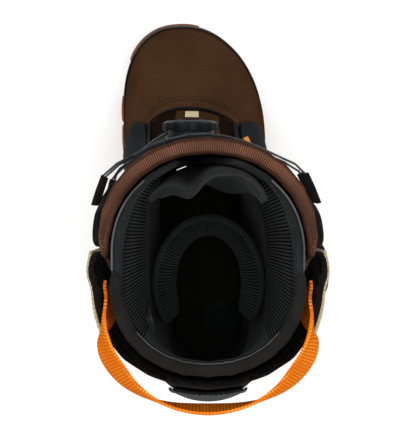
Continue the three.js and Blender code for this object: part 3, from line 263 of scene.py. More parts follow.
# Stranded steel wire under a clear grey nylon skin: half a metal's shine.
laceWire = mouldedMaterial("coatedSteelWire", {
    "dark": "#26282a", "light": "#4c4f52", "roughness": 0.4, "grain": 0.0006, "relief": 0.00006,
    "metallic": 0.6})
# Pressed fibre board under the foot: a dull brown that only shows from inside.
boardFibre = mouldedMaterial("pressedFibreBoard", {
    "dark": "#5c5040", "light": "#85775f", "roughness": 0.9, "grain": 0.0012, "relief": 0.00015})
# Bonded polyester sewing thread, in two colours: smooth, a little glossier than the cloth.
threadDark = mouldedMaterial("polyesterThreadGrey", {
    "dark": "#161616", "light": "#333231", "roughness": 0.55, "grain": 0.0005, "relief": 0.00004})
threadBrown = mouldedMaterial("polyesterThreadBrown", {
    "dark": "#120c07", "light": "#2a1c11", "roughness": 0.55, "grain": 0.0005, "relief": 0.00004})

# The throat's canvas: the same brown, printed with darker patches towards both sides.
throatLook = {"dark": "#241710", "light": "#46301f", "roughness": 0.72, "across": 0.0012, "along": 0.0012,
              "relief": 0.00025, "patch": "#1a110b", "patchSize": 0.016, "plainHalfWidth": 0.017,
              "ragged": 0.016, "edgeFrom": 0.0075, "edgeTo": 0.0083}
throatLow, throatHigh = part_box("lower_tongue")
throatMiddle = (throatLow.x + throatHigh.x) / 2
throatCanvas, tree, shader, ramp = wovenMaterial("printedCanvas", throatLook)
place = addNode(tree, "ShaderNodeTexCoord")
split = addNode(tree, "ShaderNodeSeparateXYZ", {"Vector": place.outputs["Object"]})
aside = addNode(tree, "ShaderNodeMath", {0: split.outputs["X"], 1: -throatMiddle})
away = addNode(tree, "ShaderNodeMath", {0: aside.outputs[0]}, operation="ABSOLUTE")
blots = addNode(tree, "ShaderNodeTexNoise", {
    "Vector": place.outputs["Object"], "Scale": 1 / throatLook["patchSize"], "Detail": 1.5, "Roughness": 0.4})
reach = addNode(tree, "ShaderNodeMath", {
    0: blots.outputs["Fac"], 1: throatLook["ragged"], 2: away.outputs[0]}, operation="MULTIPLY_ADD")
mask = addNode(tree, "ShaderNodeMapRange", {
    "Value": reach.outputs[0], "From Min": throatLook["plainHalfWidth"] + throatLook["edgeFrom"],
    "From Max": throatLook["plainHalfWidth"] + throatLook["edgeTo"]})
mix = addNode(tree, "ShaderNodeMix", {"Factor": mask.outputs["Result"], 6: ramp.outputs["Color"],
              7: linear(throatLook["patch"])}, data_type="RGBA")
tree.links.new(mix.outputs[2], shader.inputs["Base Color"])

# The cuff's pack cloth, with the cream panel's weave where the "panel" attribute passes a half.
cuffCloth, tree, shader, ramp = wovenMaterial("packClothToPanel", packLook)
cream = addNode(tree, "ShaderNodeValToRGB", {"Fac": ramp.inputs["Fac"].links[0].from_socket})
paintRamp(cream, (0.0, "#b0a384"), (0.5, creamLight))
share = addNode(tree, "ShaderNodeAttribute", attribute_name="panel")
step = addNode(tree, "ShaderNodeMapRange", {
    "Value": share.outputs["Fac"], "From Min": 0.48, "From Max": 0.52})
mix = addNode(tree, "ShaderNodeMix", {"Factor": step.outputs["Result"], 6: ramp.outputs["Color"],
              7: cream.outputs["Color"]}, data_type="RGBA")
tree.links.new(mix.outputs[2], shader.inputs["Base Color"])
print("materials made:", len(bpy.data.materials))


def newPiece(name, bm):
    mesh = bpy.data.meshes.new(name)
    bm.to_mesh(mesh)
    bm.free()
    mesh.shade_smooth()
    piece = bpy.data.objects.new(name, mesh)
    scene.collection.objects.link(piece)
    return piece


def opened(piece):  # a copy of an object's mesh, open for editing
    bm = bmesh.new()
    bm.from_mesh(piece.data)
    return bm


def mergedCopy(nodeName):  # a CAD node's mesh with its loose triangles joined up
    bm = opened(nodes[nodeName])
    bmesh.ops.remove_doubles(bm, verts=bm.verts, dist=0.00001)
    return bm


def settle(piece):  # bakes the modifiers into the mesh
    graph = bpy.context.evaluated_depsgraph_get()
    done = bpy.data.meshes.new_from_object(piece.evaluated_get(graph))
    piece.modifiers.clear()
    piece.data = done
    piece.data.shade_smooth()


def refine(piece, levels=1):
    rounding = piece.modifiers.new("rounding", "SUBSURF")
    rounding.levels = rounding.render_levels = levels
    settle(piece)


def treeOf(piece):
    bm = opened(piece)
    tree = BVHTree.FromBMesh(bm)
    bm.free()
    return tree


def awayFrom(line, p):  # the level direction from an upright line to a point
    return Vector((p.x - line[0], p.y - line[1], 0)).normalized()


def middleOf(points):
    return sum(points, Vector()) / len(points)


def clamped(value):
    return min(1.0, max(0.0, value))


def shift(piece, moved):  # moves each point by what moved(place, normal) gives
    for vertex, normal in [(v, v.normal.copy()) for v in piece.data.vertices]:
        vertex.co += moved(vertex.co.copy(), normal)


# A map in metres for the weaves. "box" looks along the axis that a face turns to, and "round"
# unrolls the piece about an upright line.
def layMap(piece, kind="box", centre=legAxis, radius=0.055):
    bm = opened(piece)
    layer = bm.loops.layers.uv.get("weave") or bm.loops.layers.uv.new("weave")
    for face in bm.faces:
        n = face.normal
        turns = [math.atan2(l.vert.co.x - centre[0], l.vert.co.y - centre[1]) for l in face.loops]
        if max(turns) - min(turns) > math.pi:
            turns = [t + 2 * math.pi if t < 0 else t for t in turns]
        for loop, turn in zip(face.loops, turns):
            p = loop.vert.co
            if kind == "round":
                away = math.hypot(p.x - centre[0], p.y - centre[1])
                loop[layer].uv = (turn * radius, p.z if abs(n.z) < 0.8 else away)
            elif abs(n.z) >= max(abs(n.x), abs(n.y)):
                loop[layer].uv = (p.x, p.y)
            elif abs(n.x) > abs(n.y):
                loop[layer].uv = (p.y, p.z)
            else:
                loop[layer].uv = (p.x, p.z)
    bm.to_mesh(piece.data)
    bm.free()


def dress(piece, materials, body, replaced=(), mapKind="box", **mapping):
    layMap(piece, mapKind, **mapping)
    for material in materials if isinstance(materials, list) else [materials]:
        piece.data.materials.append(material)
    if body:
        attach(piece, body)
    if replaced:
        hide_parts(*replaced)
    return piece


# A crisp piece: quads, a small rounded edge, then subdivisions that round the big curves.
# With thin and narrow below 1 it is flattened along its broadest outer face's normal.
def crispPiece(nodeName, materials, edge=0.0005, levels=2, sharp=40, mapKind="box", thin=1.0, narrow=1.0,
               **mapping):
    bm = mergedCopy(nodeName)
    if thin < 1:
        middle = middleOf([v.co for v in bm.verts])
        outwards = middle - Vector((*legAxis, middle.z))
        broad = max(bm.faces, key=lambda f: f.calc_area() * (f.normal.dot(outwards) > 0))
        turn = broad.normal.to_track_quat("Z", "Y").to_matrix().to_4x4()
        bmesh.ops.scale(bm, vec=(narrow, narrow, thin), verts=bm.verts,
                        space=turn.inverted() @ Matrix.Translation(-middle))
    bmesh.ops.join_triangles(bm, faces=bm.faces, angle_face_threshold=math.radians(40),
                             angle_shape_threshold=math.radians(60))
    rims = [e for e in bm.edges if e.is_manifold and e.calc_face_angle() > math.radians(sharp)]
    bmesh.ops.bevel(bm, geom=rims, offset=edge, offset_type="OFFSET", segments=2, profile=0.5, affect="EDGES",
                    clamp_overlap=True, material=-1)
    bmesh.ops.recalc_face_normals(bm, faces=bm.faces)
    piece = newPiece(nodeName + "_piece", bm)
    refine(piece, levels)
    return dress(piece, materials, bodyOf[nodeName], [nodeName], mapKind, **mapping)


# A soft piece: an even skin over the CAD solid, with its corners worn round.
def softSkin(nodeName, voxel, passes):
    piece = newPiece(nodeName + "_piece", mergedCopy(nodeName))
    skin = piece.modifiers.new("skin", "REMESH")
    skin.mode = "VOXEL"
    skin.voxel_size = voxel
    settle(piece)
    bm = opened(piece)
    for _ in range(passes):
        bmesh.ops.smooth_vert(bm, verts=bm.verts, factor=0.5, use_axis_x=True, use_axis_y=True,
                              use_axis_z=True)
    bm.to_mesh(piece.data)
    bm.free()
    piece.data.shade_smooth()
    return piece


# Foam under cloth: a short cloth simulation blows the skin up, and no point moves further than
# cap.
clothLook = {"stiffness": 25, "frames": 20}


def puff(piece, pressure, cap):
    rest = [v.co.copy() for v in piece.data.vertices]
    cloth = piece.modifiers.new("cloth", "CLOTH")
    cloth.settings.use_pressure = True
    cloth.settings.uniform_pressure_force = pressure
    cloth.settings.effector_weights.gravity = 0
    cloth.settings.tension_stiffness = clothLook["stiffness"]
    cloth.settings.compression_stiffness = clothLook["stiffness"]
    cloth.point_cache.frame_start = 1
    cloth.point_cache.frame_end = clothLook["frames"]
    for number in range(1, clothLook["frames"] + 1):
        scene.frame_set(number)
    settle(piece)
    for vertex, was in zip(piece.data.vertices, rest):
        step = vertex.co - was
        if step.length > cap:
            vertex.co = was + step * (cap / step.length)
    scene.frame_set(1)


def lineInside(piece):  # the faces towards the leg take the piece's second material
    for face in piece.data.polygons:
        face.material_index = int(face.normal.dot(-awayFrom(legAxis, face.center)) > 0.3)


def evenly(points, spacing):  # the same line with points an even distance apart
    lengths = [0.0]
    for a, b in zip(points, points[1:]):
        lengths.append(lengths[-1] + (b - a).length)
    count = max(2, round(lengths[-1] / spacing))
    found = []
    for i in range(count + 1):
        want = lengths[-1] * i / count
        k = next((j for j in range(1, len(lengths)) if lengths[j] >= want - 1e-9), len(lengths) - 1)
        share = (want - lengths[k - 1]) / max(1e-9, lengths[k] - lengths[k - 1])
        found.append(points[k - 1].lerp(points[k], share))
    return found


# A row of stitches lying on a piece: each one is a small capsule along the line.
def stitchRow(name, line, onPiece, material, body, gap=0.0034, length=0.0024, radius=0.00042,
              lift=0.0001):
    tree = treeOf(onPiece)
    places = evenly(line, gap)
    bm = bmesh.new()
    for start, end in zip(places, places[1:]):
        spot, normal, _, _ = tree.find_nearest((start + end) / 2)
        along = end - start
        along = (along - normal * along.dot(normal)).normalized()
        side = normal.cross(along)
        turn = Matrix((along, side, normal)).transposed().to_4x4()
        size = Matrix.Diagonal((length / 2, radius, radius, 1))
        place = Matrix.Translation(spot + normal * lift) @ turn @ size
        bmesh.ops.create_uvsphere(bm, u_segments=6, v_segments=4, radius=1, matrix=place)
    return dress(newPiece(name, bm), material, body)


# One point of a node, chosen by pick, for each slice round an upright line.
def angleLine(nodeName, centre, fromDeg, toDeg, count, pick):
    points = [v.co for v in nodes[nodeName].data.vertices]
    closest = math.cos(math.radians(abs(toDeg - fromDeg) / count))
    found = []
    for i in range(count + 1):
        want = math.radians(fromDeg + (toDeg - fromDeg) * i / count)
        way = Vector((math.sin(want), math.cos(want), 0))
        near = [p for p in points if awayFrom(centre, p).dot(way) > closest]
        if near:
            found.append(pick(near, way))
    return found


# A line inside the outer edge of a shell-like node: its sharp edges are chained into runs, short
# runs are dropped, and the run that lies furthest out is moved in by inset.
def hemLine(nodeName, inset, sharp=50):
    bm = mergedCopy(nodeName)
    bm.edges.index_update()
    rims = {}
    for edge in bm.edges:
        if not edge.is_manifold or edge.calc_face_angle() < math.radians(sharp):
            continue
        start, end = (v.co for v in edge.verts)
        if abs((end - start).normalized().dot(awayFrom(legAxis, (start + end) / 2))) < 0.8:
            rims[edge.index] = edge
    runs = []
    while rims:
        edge = rims.pop(min(rims))
        run = [edge.verts[0], edge.verts[1]]
        for _ in range(2):  # on from one end, then on from the other
            while True:
                step = next((e for e in run[-1].link_edges if e.index in rims), None)
                if step is None:
                    break
                del rims[step.index]
                run.append(step.other_vert(run[-1]))
            run.reverse()
        runs.append([v.co.copy() for v in run])
    longest = max(len(run) for run in runs)
    runs = [run for run in runs if len(run) > longest / 2]
    outer = max(runs, key=lambda run: sum(
        math.hypot(p.x - legAxis[0], p.y - legAxis[1]) for p in run) / len(run))
    bm.free()
    middle = middleOf(outer)
    return [p + (middle - p).normalized() * inset for p in outer]


# Sole and lower shell. The sole stands out round the toe, most of all at its outer front.
soleLook = {"centre": (-0.008, 0.1), "toeOut": 0.0012, "outerOut": 0.0036, "outerTurn": 38, "outerSpread": 30,
            "frontFrom": 0.02, "frontOver": 0.05, "nearOver": 0.03, "randThinner": 0.0013}


def bulge(piece):
    def moved(p, _):
        arm = Vector((p.x - soleLook["centre"][0], p.y - soleLook["centre"][1], 0))
        turn = math.degrees(math.atan2(arm.x, arm.y))
        front = clamped((p.y - soleLook["frontFrom"]) / soleLook["frontOver"])
        front *= min(1.0, arm.length / soleLook["nearOver"])
        outer = math.exp(-((turn - soleLook["outerTurn"]) / soleLook["outerSpread"]) ** 2)
        out = soleLook["toeOut"] + (soleLook["outerOut"] - soleLook["toeOut"]) * outer
        return arm.normalized() * out * front
    shift(piece, moved)


def randMoved(p, normal):  # the rand's outer face lies a little closer in
    away = awayFrom(soleLook["centre"], p)
    return -away * soleLook["randThinner"] * clamped(normal.dot(away) * 2)


for nodeName, material in (("outsole_heel", gumRubber), ("shank", anodised), ("lasting_board", boardFibre)):
    nodes[nodeName].data.materials.clear()
    nodes[nodeName].data.materials.append(material)
bulge(crispPiece("midsole", foamEva, edge=0.0012))
for wrap in ("toe_wrap", "ball_wrap_front", "ball_wrap_middle", "ball_wrap_back"):
    bulge(crispPiece(wrap, gumRubber))
bulge(crispPiece("outsole_forefoot", gumRubber, levels=1))
shift(crispPiece("toe_rand", randRubber, edge=0.0004), randMoved)
vamp = crispPiece("vamp", vampCanvas)
crispPiece("quarter", packCloth)
shell = {"heel_counter": crispPiece("heel_counter", coatedLeather)}
for side in ("outer", "inner"):
    shell["instep_wing_" + side] = crispPiece("instep_wing_" + side, coatedLeather)
lowerTongue = crispPiece("lower_tongue", throatCanvas)

# A narrow black tape round the throat, and two rows of stitches on the vamp beyond it.
throatSeam = {"centre": (throatMiddle, 0.045), "tape": 0.003, "rows": (0.0026, 0.0058), "from": -78, "to": 78,
              "slices": 26}
throatEdge = crispPiece("throat_binding", [vampCanvas, coatedLeather], edge=0.0004, levels=3)
throatTree = treeOf(lowerTongue)
for face in throatEdge.data.polygons:
    face.material_index = int(throatTree.find_nearest(face.center)[3] < throatSeam["tape"])
for side in ("outer", "inner"):
    for height in ("low", "top"):
        crispPiece(f"lower_guide_{side}_{height}", coatedLeather, edge=0.0004, levels=1)
        crispPiece(f"upper_guide_{side}_{height}", packCloth, edge=0.0012, levels=1, thin=0.6, narrow=0.82)
for nodeName in ("instep_wing_outer", "instep_wing_inner", "heel_counter"):
    stitchRow(nodeName + "_stitches", hemLine(nodeName, 0.0028), shell[nodeName], threadDark, "lower")
throatArc = angleLine("throat_binding", throatSeam["centre"], throatSeam["from"], throatSeam["to"],
                      throatSeam["slices"],
                      lambda near, way: max(near, key=lambda p: p.x * way.x + p.y * way.y).copy())
for number, out in enumerate(throatSeam["rows"]):
    row = [p + awayFrom(throatSeam["centre"], p) * out for p in throatArc]
    stitchRow(f"throat_stitches_{number}", row, vamp, threadBrown, "lower")
print("lower shell done")

tongueLook = {"voxel": 0.0022, "passes": 5, "bindingVoxel": 0.0011, "bindingPasses": 6}
tongue = softSkin("tongue", tongueLook["voxel"], tongueLook["passes"])
dress(tongue, [packCloth, spacerMesh], "tongue", ["tongue"], "round")
lineInside(tongue)
binding = softSkin("tongue_binding", tongueLook["bindingVoxel"], tongueLook["bindingPasses"])
dress(binding, grosgrain, "tongue", ["tongue_binding"], "round", radius=0.068)
crispPiece("tongue_plate", coatedLeather, edge=0.0004)
print("tongue done")

# The cuff. The cream weave is carried past each panel's edge, by more the higher it lies.
cuffLook = {"voxel": 0.0022, "passes": 5, "flapVoxel": 0.004, "flapPressure": 4.0, "flapCap": 0.0012,
            "panelOver": 0.0115, "overFrom": 0.13, "overRise": 0.12, "panelFade": 0.004}
cuff = softSkin("cuff", cuffLook["voxel"], cuffLook["passes"])
dress(cuff, [cuffCloth, spacerMesh], "cuff", ["cuff"], "round")
panelShares = cuff.data.attributes.new("panel", "FLOAT", "POINT")
panelTrees = [treeOf(nodes["cuff_panel_" + side]) for side in ("outer", "inner")]
for vertex, share in zip(cuff.data.vertices, panelShares.data):
    reach = min(tree.find_nearest(vertex.co)[3] for tree in panelTrees)
    height = clamped((vertex.co.z - cuffLook["overFrom"]) / cuffLook["overRise"])
    share.value = 0.5 + (cuffLook["panelOver"] * height - reach) / cuffLook["panelFade"]
lineInside(cuff)
for side in ("outer", "inner"):
    flap = softSkin("cuff_flap_" + side, cuffLook["flapVoxel"], 1)
    puff(flap, cuffLook["flapPressure"], cuffLook["flapCap"])
    refine(flap)
    dress(flap, packCloth, "flap_" + side, ["cuff_flap_" + side], "round")
    panel = crispPiece("cuff_panel_" + side, panelWeave, edge=0.0004, mapKind="round")
    stitchRow(f"cuff_panel_{side}_stitches", hemLine("cuff_panel_" + side, 0.0035), panel, tabCream,
              "cuff")
backstay = crispPiece("backstay", coatedLeather, edge=0.0006)
stitchRow("backstay_stitches", hemLine("backstay", 0.003), backstay, threadDark, "cuff")
print("cuff done")

# The liner, with the ankle pad inside it.
linerLook = {"voxel": 0.0022, "passes": 4, "bendFrom": (0, 0, 0.105), "bendTo": (0, 0, 0.165)}
liner = softSkin("liner", linerLook["voxel"], linerLook["passes"])
dress(liner, liningKnit, None, ["liner"], "round")
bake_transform(liner)
linerTree = treeOf(liner)

# The ribbed lining: a fine grid thrown out onto the liner's inner wall, ribs every 2.1 mm.
ribLook = {"centre": (0.0, -0.026), "fromDeg": 33, "toDeg": 327, "smoothFrom": 140, "low": 0.2,
           "high": 0.284, "rows": 16, "rib": 0.0021, "perRib": 6, "depth": 0.0009, "skin": 0.0011,
           "steps": 360, "standOff": 0.0002}


def wallPoint(turn, z):  # the liner's inner wall in one direction, at one height
    way = Vector((math.sin(turn), math.cos(turn), 0))
    start = Vector((ribLook["centre"][0], ribLook["centre"][1], z))
    return linerTree.ray_cast(start, way)[0], way


def ribRise(column, perRib):  # 0 in the valley between two ribs, 1 on a rib's back
    return abs(math.sin(math.pi * column / perRib)) ** 0.7


ribSweep = ribLook["toDeg"] - ribLook["fromDeg"]
turns = [math.radians(ribLook["fromDeg"] + ribSweep * i / ribLook["steps"])
         for i in range(ribLook["steps"] + 1)]
middleRow = [wallPoint(t, (ribLook["low"] + ribLook["high"]) / 2)[0] for t in turns]
arc = [0.0]
for a, b in zip(middleRow, middleRow[1:]):
    arc.append(arc[-1] + ((b - a).length if a and b else 0.0))
ribColumns = round(arc[-1] / ribLook["rib"]) * ribLook["perRib"]


def turnAt(share):  # the direction at a share of the wall's own length
    want = arc[-1] * share
    k = next((j for j in range(1, len(arc)) if arc[j] >= want - 1e-12), len(arc) - 1)
    part = (want - arc[k - 1]) / max(1e-9, arc[k] - arc[k - 1])
    return turns[k - 1] + (turns[k] - turns[k - 1]) * part


def isSmooth(turn):  # the back of the heel has no ribs
    return math.radians(ribLook["smoothFrom"]) < turn < math.radians(360 - ribLook["smoothFrom"])


columnTurns = [turnAt(i / ribColumns) for i in range(ribColumns + 1)]
bm = bmesh.new()
bmesh.ops.create_grid(bm, x_segments=ribColumns, y_segments=ribLook["rows"], size=0.5)
# Faces in the valleys between the ribs take the second material, the darker knit: painted shade.
for face in bm.faces:
    column = round((face.calc_center_median().x + 0.5) * ribColumns - 0.5)
    valley = column % ribLook["perRib"] in (0, ribLook["perRib"] - 1)
    face.material_index = int(valley and not isSmooth(columnTurns[column]))
strays = []
for vertex in bm.verts:
    column = round((vertex.co.x + 0.5) * ribColumns)
    share = vertex.co.y + 0.5
    z = ribLook["low"] + (ribLook["high"] - ribLook["low"]) * share
    hit, way = wallPoint(columnTurns[column], z)
    if hit is None:
        strays.append(vertex)
        continue
    rise = 1.0 if isSmooth(columnTurns[column]) else ribRise(column, ribLook["perRib"])
    fade = min(1.0, share * 8, (1 - share) * 8)  # flat at both hems
    vertex.co = hit - way * (ribLook["standOff"] + ribLook["depth"] * rise * fade)
bmesh.ops.delete(bm, geom=strays, context="VERTS")
bmesh.ops.recalc_face_normals(bm, faces=bm.faces)
if sum(f.normal.dot(awayFrom(ribLook["centre"], f.calc_center_median())) for f in bm.faces) > 0:
    bmesh.ops.reverse_faces(bm, faces=bm.faces)  # so that the skin grows into the wall
bmesh.ops.solidify(bm, geom=bm.faces, thickness=ribLook["skin"])
bmesh.ops.recalc_face_normals(bm, faces=bm.faces)
ribbing = dress(newPiece("liner_ribbing", bm), [liningKnit, knitPaintedShade], "cuff", (), "round")
print("lining ribs:", ribColumns // ribLook["perRib"])

# The padded horseshoe round the ankle, with sewn ribs across its inner part.
padLow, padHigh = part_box("ankle_pad")
padLook = {"halfWide": 0.0333, "halfLong": 0.0418, "tall": 0.056, "thick": 0.015, "lean": 0.0075,
           "drop": 0.003, "from": -2.25, "to": 2.2, "rib": 0.0021, "perRib": 6, "around": 40, "depth": 0.0009,
           "seam": 0.12, "seamWide": 0.16, "seamDeep": 0.0011, "forward": 0.0003, "endFrom": 0.93,
           "endOver": 0.07, "endShorter": 0.35, "endThinner": 0.45, "footThinner": 0.25, "leastThick": 0.12,
           "leastTall": 0.3}
padCentre = ((padLow.x + padHigh.x) / 2,
             padHigh.y - padLook["halfLong"] - padLook["thick"] / 2 + padLook["forward"])
padLength = (padLook["to"] - padLook["from"]) * (padLook["halfWide"] + padLook["halfLong"]) / 2
padColumns = round(padLength / padLook["rib"]) * padLook["perRib"]


def padPoint(share, q, out):  # share along the horseshoe, q round its section, out from its surface
    turn = padLook["from"] + (padLook["to"] - padLook["from"]) * share
    end = abs(2 * share - 1) ** 8
    over = max(0.0, abs(2 * share - 1) - padLook["endFrom"])
    close = math.sqrt(max(0.0, 1 - over ** 2 / padLook["endOver"] ** 2))
    tall = padLook["tall"] * (1 - padLook["endShorter"] * end)
    thick = padLook["thick"] * (1 - padLook["endThinner"] * end) + 2 * out
    thick *= max(padLook["leastThick"], close)
    down = (1 - math.cos(q)) / 2
    r = thick / 2 * math.sin(q) * (1 - padLook["footThinner"] * down) - padLook["lean"] * down
    rise = (tall / 2 + out) * math.cos(q) * max(padLook["leastTall"], close)
    return Vector((padCentre[0] + (padLook["halfWide"] + r) * math.sin(turn),
                   padCentre[1] + (padLook["halfLong"] + r) * math.cos(turn),
                   padHigh.z - tall / 2 - padLook["drop"] * end + rise))


bm = bmesh.new()
bmesh.ops.create_grid(bm, x_segments=padColumns, y_segments=padLook["around"], size=0.5)
# Faces in the valleys between the pad's ribs take the second material, the darker knit: painted shade.
for face in bm.faces:
    middle = face.calc_center_median()
    column = round((middle.x + 0.5) * padColumns - 0.5)
    ribbed = math.sin(2 * math.pi * (middle.y + 0.5)) < padLook["seam"] - 0.1
    face.material_index = int(ribbed and column % padLook["perRib"] in (0, padLook["perRib"] - 1))
for vertex in bm.verts:
    column = round((vertex.co.x + 0.5) * padColumns)
    share = column / padColumns
    q = 2 * math.pi * (round((vertex.co.y + 0.5) * padLook["around"]) % padLook["around"]) / padLook["around"]
    facing = math.sin(q)  # 1 on the outer side, -1 towards the foot
    ribbed = 1.0 if facing < padLook["seam"] else 0.0
    seam = math.exp(-((facing - padLook["seam"]) / padLook["seamWide"]) ** 2) if math.cos(q) > 0 else 0.0
    sunk = padLook["depth"] * (ribRise(column, padLook["perRib"]) - 1) * ribbed
    vertex.co = padPoint(share, q, sunk - padLook["seamDeep"] * seam)
bmesh.ops.remove_doubles(bm, verts=bm.verts, dist=0.000001)
bmesh.ops.holes_fill(bm, edges=[e for e in bm.edges if e.is_boundary], sides=0)
bmesh.ops.recalc_face_normals(bm, faces=bm.faces)
anklePad = newPiece("ankle_pad_piece", bm)
dress(anklePad, [liningKnit, knitPaintedShade], None, ["ankle_pad"], "round", centre=padCentre, radius=0.04)
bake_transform(anklePad)
padSeamQ = math.asin(padLook["seam"])
padSeam = [padPoint(0.04 + 0.92 * i / 60, padSeamQ, -0.0006) for i in range(61)]
padStitches = stitchRow("ankle_pad_stitches", padSeam, anklePad, threadDark, None, gap=0.0036)
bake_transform(padStitches)
print("ankle pad ribs:", padColumns // padLook["perRib"])

# The liner's tongue: its top edge is thin and folded in an S, with three rows of short pile.
tongueEdge = {"voxel": 0.003, "passes": 2, "pressure": 4.0, "cap": 0.0012, "thinner": 0.0034, "fold": 0.0075,
              "foldX": -0.0095, "foldWide": 0.0075, "from": 0.205, "over": 0.05, "napHalf": 0.034,
              "napSteps": 60, "napNear": 0.0012, "napRows": (-0.0012, 0.0, 0.0012), "napShift": 0.0005}


def edgeMoved(p, normal):
    top = clamped((p.z - tongueEdge["from"]) / tongueEdge["over"])
    fold = math.exp(-((p.x - tongueEdge["foldX"]) / tongueEdge["foldWide"]) ** 2)
    return Vector((0, (tongueEdge["thinner"] * max(0.0, -normal.y) - tongueEdge["fold"] * fold) * top, 0))


linerTongue = softSkin("liner_tongue", tongueEdge["voxel"], tongueEdge["passes"])
puff(linerTongue, tongueEdge["pressure"], tongueEdge["cap"])
refine(linerTongue)
shift(linerTongue, edgeMoved)
dress(linerTongue, liningKnit, "cuff", ["liner_tongue"], "round")
ridge = []
for i in range(tongueEdge["napSteps"] + 1):
    x = -tongueEdge["napHalf"] + 2 * tongueEdge["napHalf"] * i / tongueEdge["napSteps"]
    near = [v.co for v in linerTongue.data.vertices if abs(v.co.x - x) < tongueEdge["napNear"]]
    if near:
        ridge.append(max(near, key=lambda p: p.z).copy())
for number, back in enumerate(tongueEdge["napRows"]):
    line = [p + Vector((tongueEdge["napShift"] * (number % 2), back, 0)) for p in ridge]
    stitchRow(f"tongue_nap_{number}", line, linerTongue, threadDark, "cuff", gap=0.0013, length=0.0015,
              radius=0.0005)

# The collar, with a grey line along its inner top edge at the heel: grey piping drawn as a painted highlight on
# the crease's edge.
collarLook = {"voxel": 0.0012, "passes": 4, "creaseFrom": 128, "creaseTo": 232, "slices": 30,
              "creaseDown": 0.004}
collar = softSkin("liner_collar", collarLook["voxel"], collarLook["passes"])
dress(collar, collarCloth, "cuff", ["liner_collar"], "round")


def innerTop(near, way):
    top = max(p.z for p in near) - collarLook["creaseDown"]
    return min((p for p in near if p.z > top), key=lambda p: p.x * way.x + p.y * way.y).copy()


crease = angleLine("liner_collar", ribLook["centre"], collarLook["creaseFrom"], collarLook["creaseTo"],
                   collarLook["slices"], innerTop)
# Overlapping grey capsules make one line: a painted highlight along the crease.
stitchRow("heel_crease_painted_highlight", crease, collar, pipingPvc, "cuff", gap=0.0014, length=0.0022, radius=0.00045)
footbed = crispPiece("footbed", collarCloth, edge=0.0008)
heelPad = crispPiece("heel_pad", liningKnit, edge=0.0004, levels=1)

# Piping on the rim, and a row of stitches inside and below it.
rimLook = {"thinner": 0.0004, "from": 34, "to": 96, "slices": 18, "inside": 0.0046, "below": 0.0035}
for side, turn in (("outer", 1), ("inner", -1)):
    piping = crispPiece("liner_piping_" + side, pipingPvc, edge=0.0002, sharp=70)
    shift(piping, lambda p, normal: -normal * rimLook["thinner"])
    rim = angleLine("liner_piping_" + side, ribLook["centre"], turn * rimLook["from"], turn * rimLook["to"],
                    rimLook["slices"], lambda near, way: middleOf(near))
    inside = [p - awayFrom(ribLook["centre"], p) * rimLook["inside"] - Vector((0, 0, rimLook["below"]))
              for p in rim]
    stitchRow("rim_stitches_" + side, inside, liner, threadDark, "cuff")
print("liner done")

# Pull loop, harness loop and the two plain tags.
labelLook = {"wide": 0.4, "long": 0.6}  # shares of the CAD tag's size
crispPiece("pull_loop", webbing, edge=0.0004, mapKind="round", centre=(0.0, -0.045), radius=0.062)
for nodeName, material in (("size_label", labelRed), ("harness_loop", pipingPvc)):
    crispPiece(nodeName, material, edge=0.0002, levels=1)
bm = mergedCopy("liner_label")
bmesh.ops.scale(bm, vec=(labelLook["wide"], labelLook["long"], 1), verts=bm.verts,
                space=Matrix.Translation(-middleOf([v.co for v in bm.verts])))
dress(newPiece("liner_label_piece", bm), labelWhite, "cuff", ["liner_label"])

# Two lace dials, each with a grip of fine ribs round its knob.
dialLook = {
    "radius": 0.0188, "skirt": 0.0099, "top": 0.0143, "ribs": 84, "ribWide": 0.00052, "ribOut": 0.00045,
    "ribSunk": 0.0001, "ribEdge": 0.00015,
    "parts": (  # each with its rounded edge and subdivision levels
        ("base", dialNylon, 0.0003, 1), ("spool", anodised, 0.0002, 1), ("pawl_ring", dialNylon, 0.0001, 1),
        ("knob", dialNylon, 0.0003, 2), ("cap", dialNylon, 0.0002, 2)),
}
for prefix in ("tongue_dial", "side_dial"):
    for part, material, edge, levels in dialLook["parts"]:
        crispPiece(f"{prefix}_{part}", material, edge=edge, levels=levels)
    joint = next(j for j in frame["joints"] if j["name"] == prefix + "_turn")
    axis = Vector(joint["axis"]).normalized()
    stand = Matrix.Translation(Vector(joint["pos_m"])) @ axis.to_track_quat("Z", "Y").to_matrix().to_4x4()
    size = Matrix.Diagonal((dialLook["ribOut"] * 2, dialLook["ribWide"],
                            dialLook["top"] - dialLook["skirt"], 1))
    place = Matrix.Translation((dialLook["radius"] - dialLook["ribSunk"], 0,
                                (dialLook["top"] + dialLook["skirt"]) / 2))
    bm = bmesh.new()
    for i in range(dialLook["ribs"]):
        turn = Matrix.Rotation(2 * math.pi * i / dialLook["ribs"], 4, "Z")
        made = bmesh.ops.create_cube(bm, size=1, matrix=stand @ turn @ place @ size)
        edges = list(dict.fromkeys(e for v in made["verts"] for e in v.link_edges))
        bmesh.ops.bevel(bm, geom=edges, offset=dialLook["ribEdge"], offset_type="OFFSET", segments=1,
                        profile=0.5, affect="EDGES", material=-1)
    dress(newPiece(prefix + "_grip", bm), dialNylon, prefix + "_knob")
print("dials done")

# The laces.
lowerLace = newPiece("lower_lace_piece", mergedCopy("lower_lace"))
dress(lowerLace, laceWire, None, ["lower_lace"])
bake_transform(lowerLace)
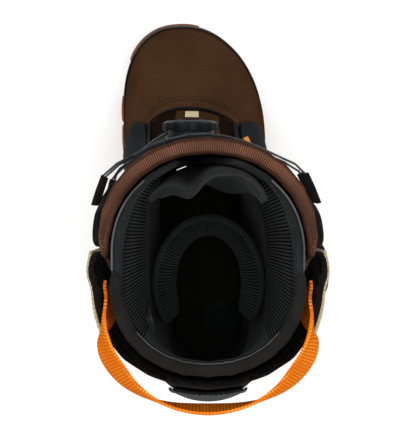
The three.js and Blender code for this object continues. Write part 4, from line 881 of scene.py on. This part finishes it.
# The upper lace runs from the tongue to a guide on each flap: each side is cut in two where it crosses
# the gap, into a half by the flap and a half by the tongue, and both meet on the cuff.
laceLook = {"meet": 0.047, "flapEnd": 0.055, "tongueEnd": 0.038}
capLow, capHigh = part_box("tongue_dial_cap")
laceMiddle = (capLow.x + capHigh.x) / 2
for side, sign in (("outer", 1), ("inner", -1)):
    for half, target, cuts in (
        ("guide", "flap_" + side, [(sign * laceLook["meet"], -sign)]),
        ("span", "tongue", [(sign * laceLook["meet"], sign), (laceMiddle, -sign)]),
    ):
        bm = mergedCopy("upper_lace")
        for place, away in cuts:
            bmesh.ops.bisect_plane(bm, geom=bm.verts[:] + bm.edges[:] + bm.faces[:], dist=0.000001,
                                   plane_co=(place, 0, 0), plane_no=(away, 0, 0), clear_outer=True)
            bmesh.ops.holes_fill(bm, edges=[e for e in bm.edges if e.is_boundary], sides=0)
        bmesh.ops.recalc_face_normals(bm, faces=bm.faces)
        lace = newPiece(f"upper_lace_{side}_{half}", bm)
        dress(lace, laceWire, None, ["upper_lace"])
        reach = laceLook["flapEnd"] if half == "guide" else laceLook["tongueEnd"]
        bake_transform(lace)
print("laces done")

# Plain tabs in place of decoration, laid from above on the piece that carries them.
tabLook = {
    "thick": 0.0006, "lift": 0.0003, "cells": 10, "dropFrom": 0.5,
    "tongue_tab": {"centre": (-0.0126, 0.0815), "wide": 0.0105, "long": 0.0052, "turn": 0},
    "wing_tab": {"centre": (0.0315, 0.0593), "wide": 0.0042, "long": 0.0105, "turn": 24},
}


def laidTab(name, onPiece, material):
    tab = tabLook[name]
    tree = treeOf(onPiece)
    bm = bmesh.new()
    bmesh.ops.create_grid(bm, x_segments=tabLook["cells"], y_segments=tabLook["cells"], size=0.5)
    turn = Matrix.Rotation(math.radians(tab["turn"]), 2)
    for vertex in bm.verts:
        flat = turn @ Vector((vertex.co.x * tab["wide"], vertex.co.y * tab["long"]))
        above = Vector((tab["centre"][0] + flat.x, tab["centre"][1] + flat.y, tabLook["dropFrom"]))
        spot, normal, _, _ = tree.ray_cast(above, Vector((0, 0, -1)))
        if spot is None:
            spot, normal, _, _ = tree.find_nearest(above)
        vertex.co = spot + normal * tabLook["lift"]
    bmesh.ops.solidify(bm, geom=bm.faces, thickness=tabLook["thick"])
    bmesh.ops.recalc_face_normals(bm, faces=bm.faces)
    dress(newPiece(name, bm), material, "lower")


laidTab("tongue_tab", lowerTongue, tabCream)
laidTab("wing_tab", shell["instep_wing_outer"], tabOrange)
print("tabs done")

bm = bmesh.new()  # the floor
bmesh.ops.create_grid(bm, x_segments=1, y_segments=1, size=studio["floorHalf"])
floor = newPiece("floor", bm)
paint = startMaterial("paintedFloor", studio["floorColour"], 0.9, Specular_IOR_Level=0.1)[0]
floor.data.materials.append(paint)
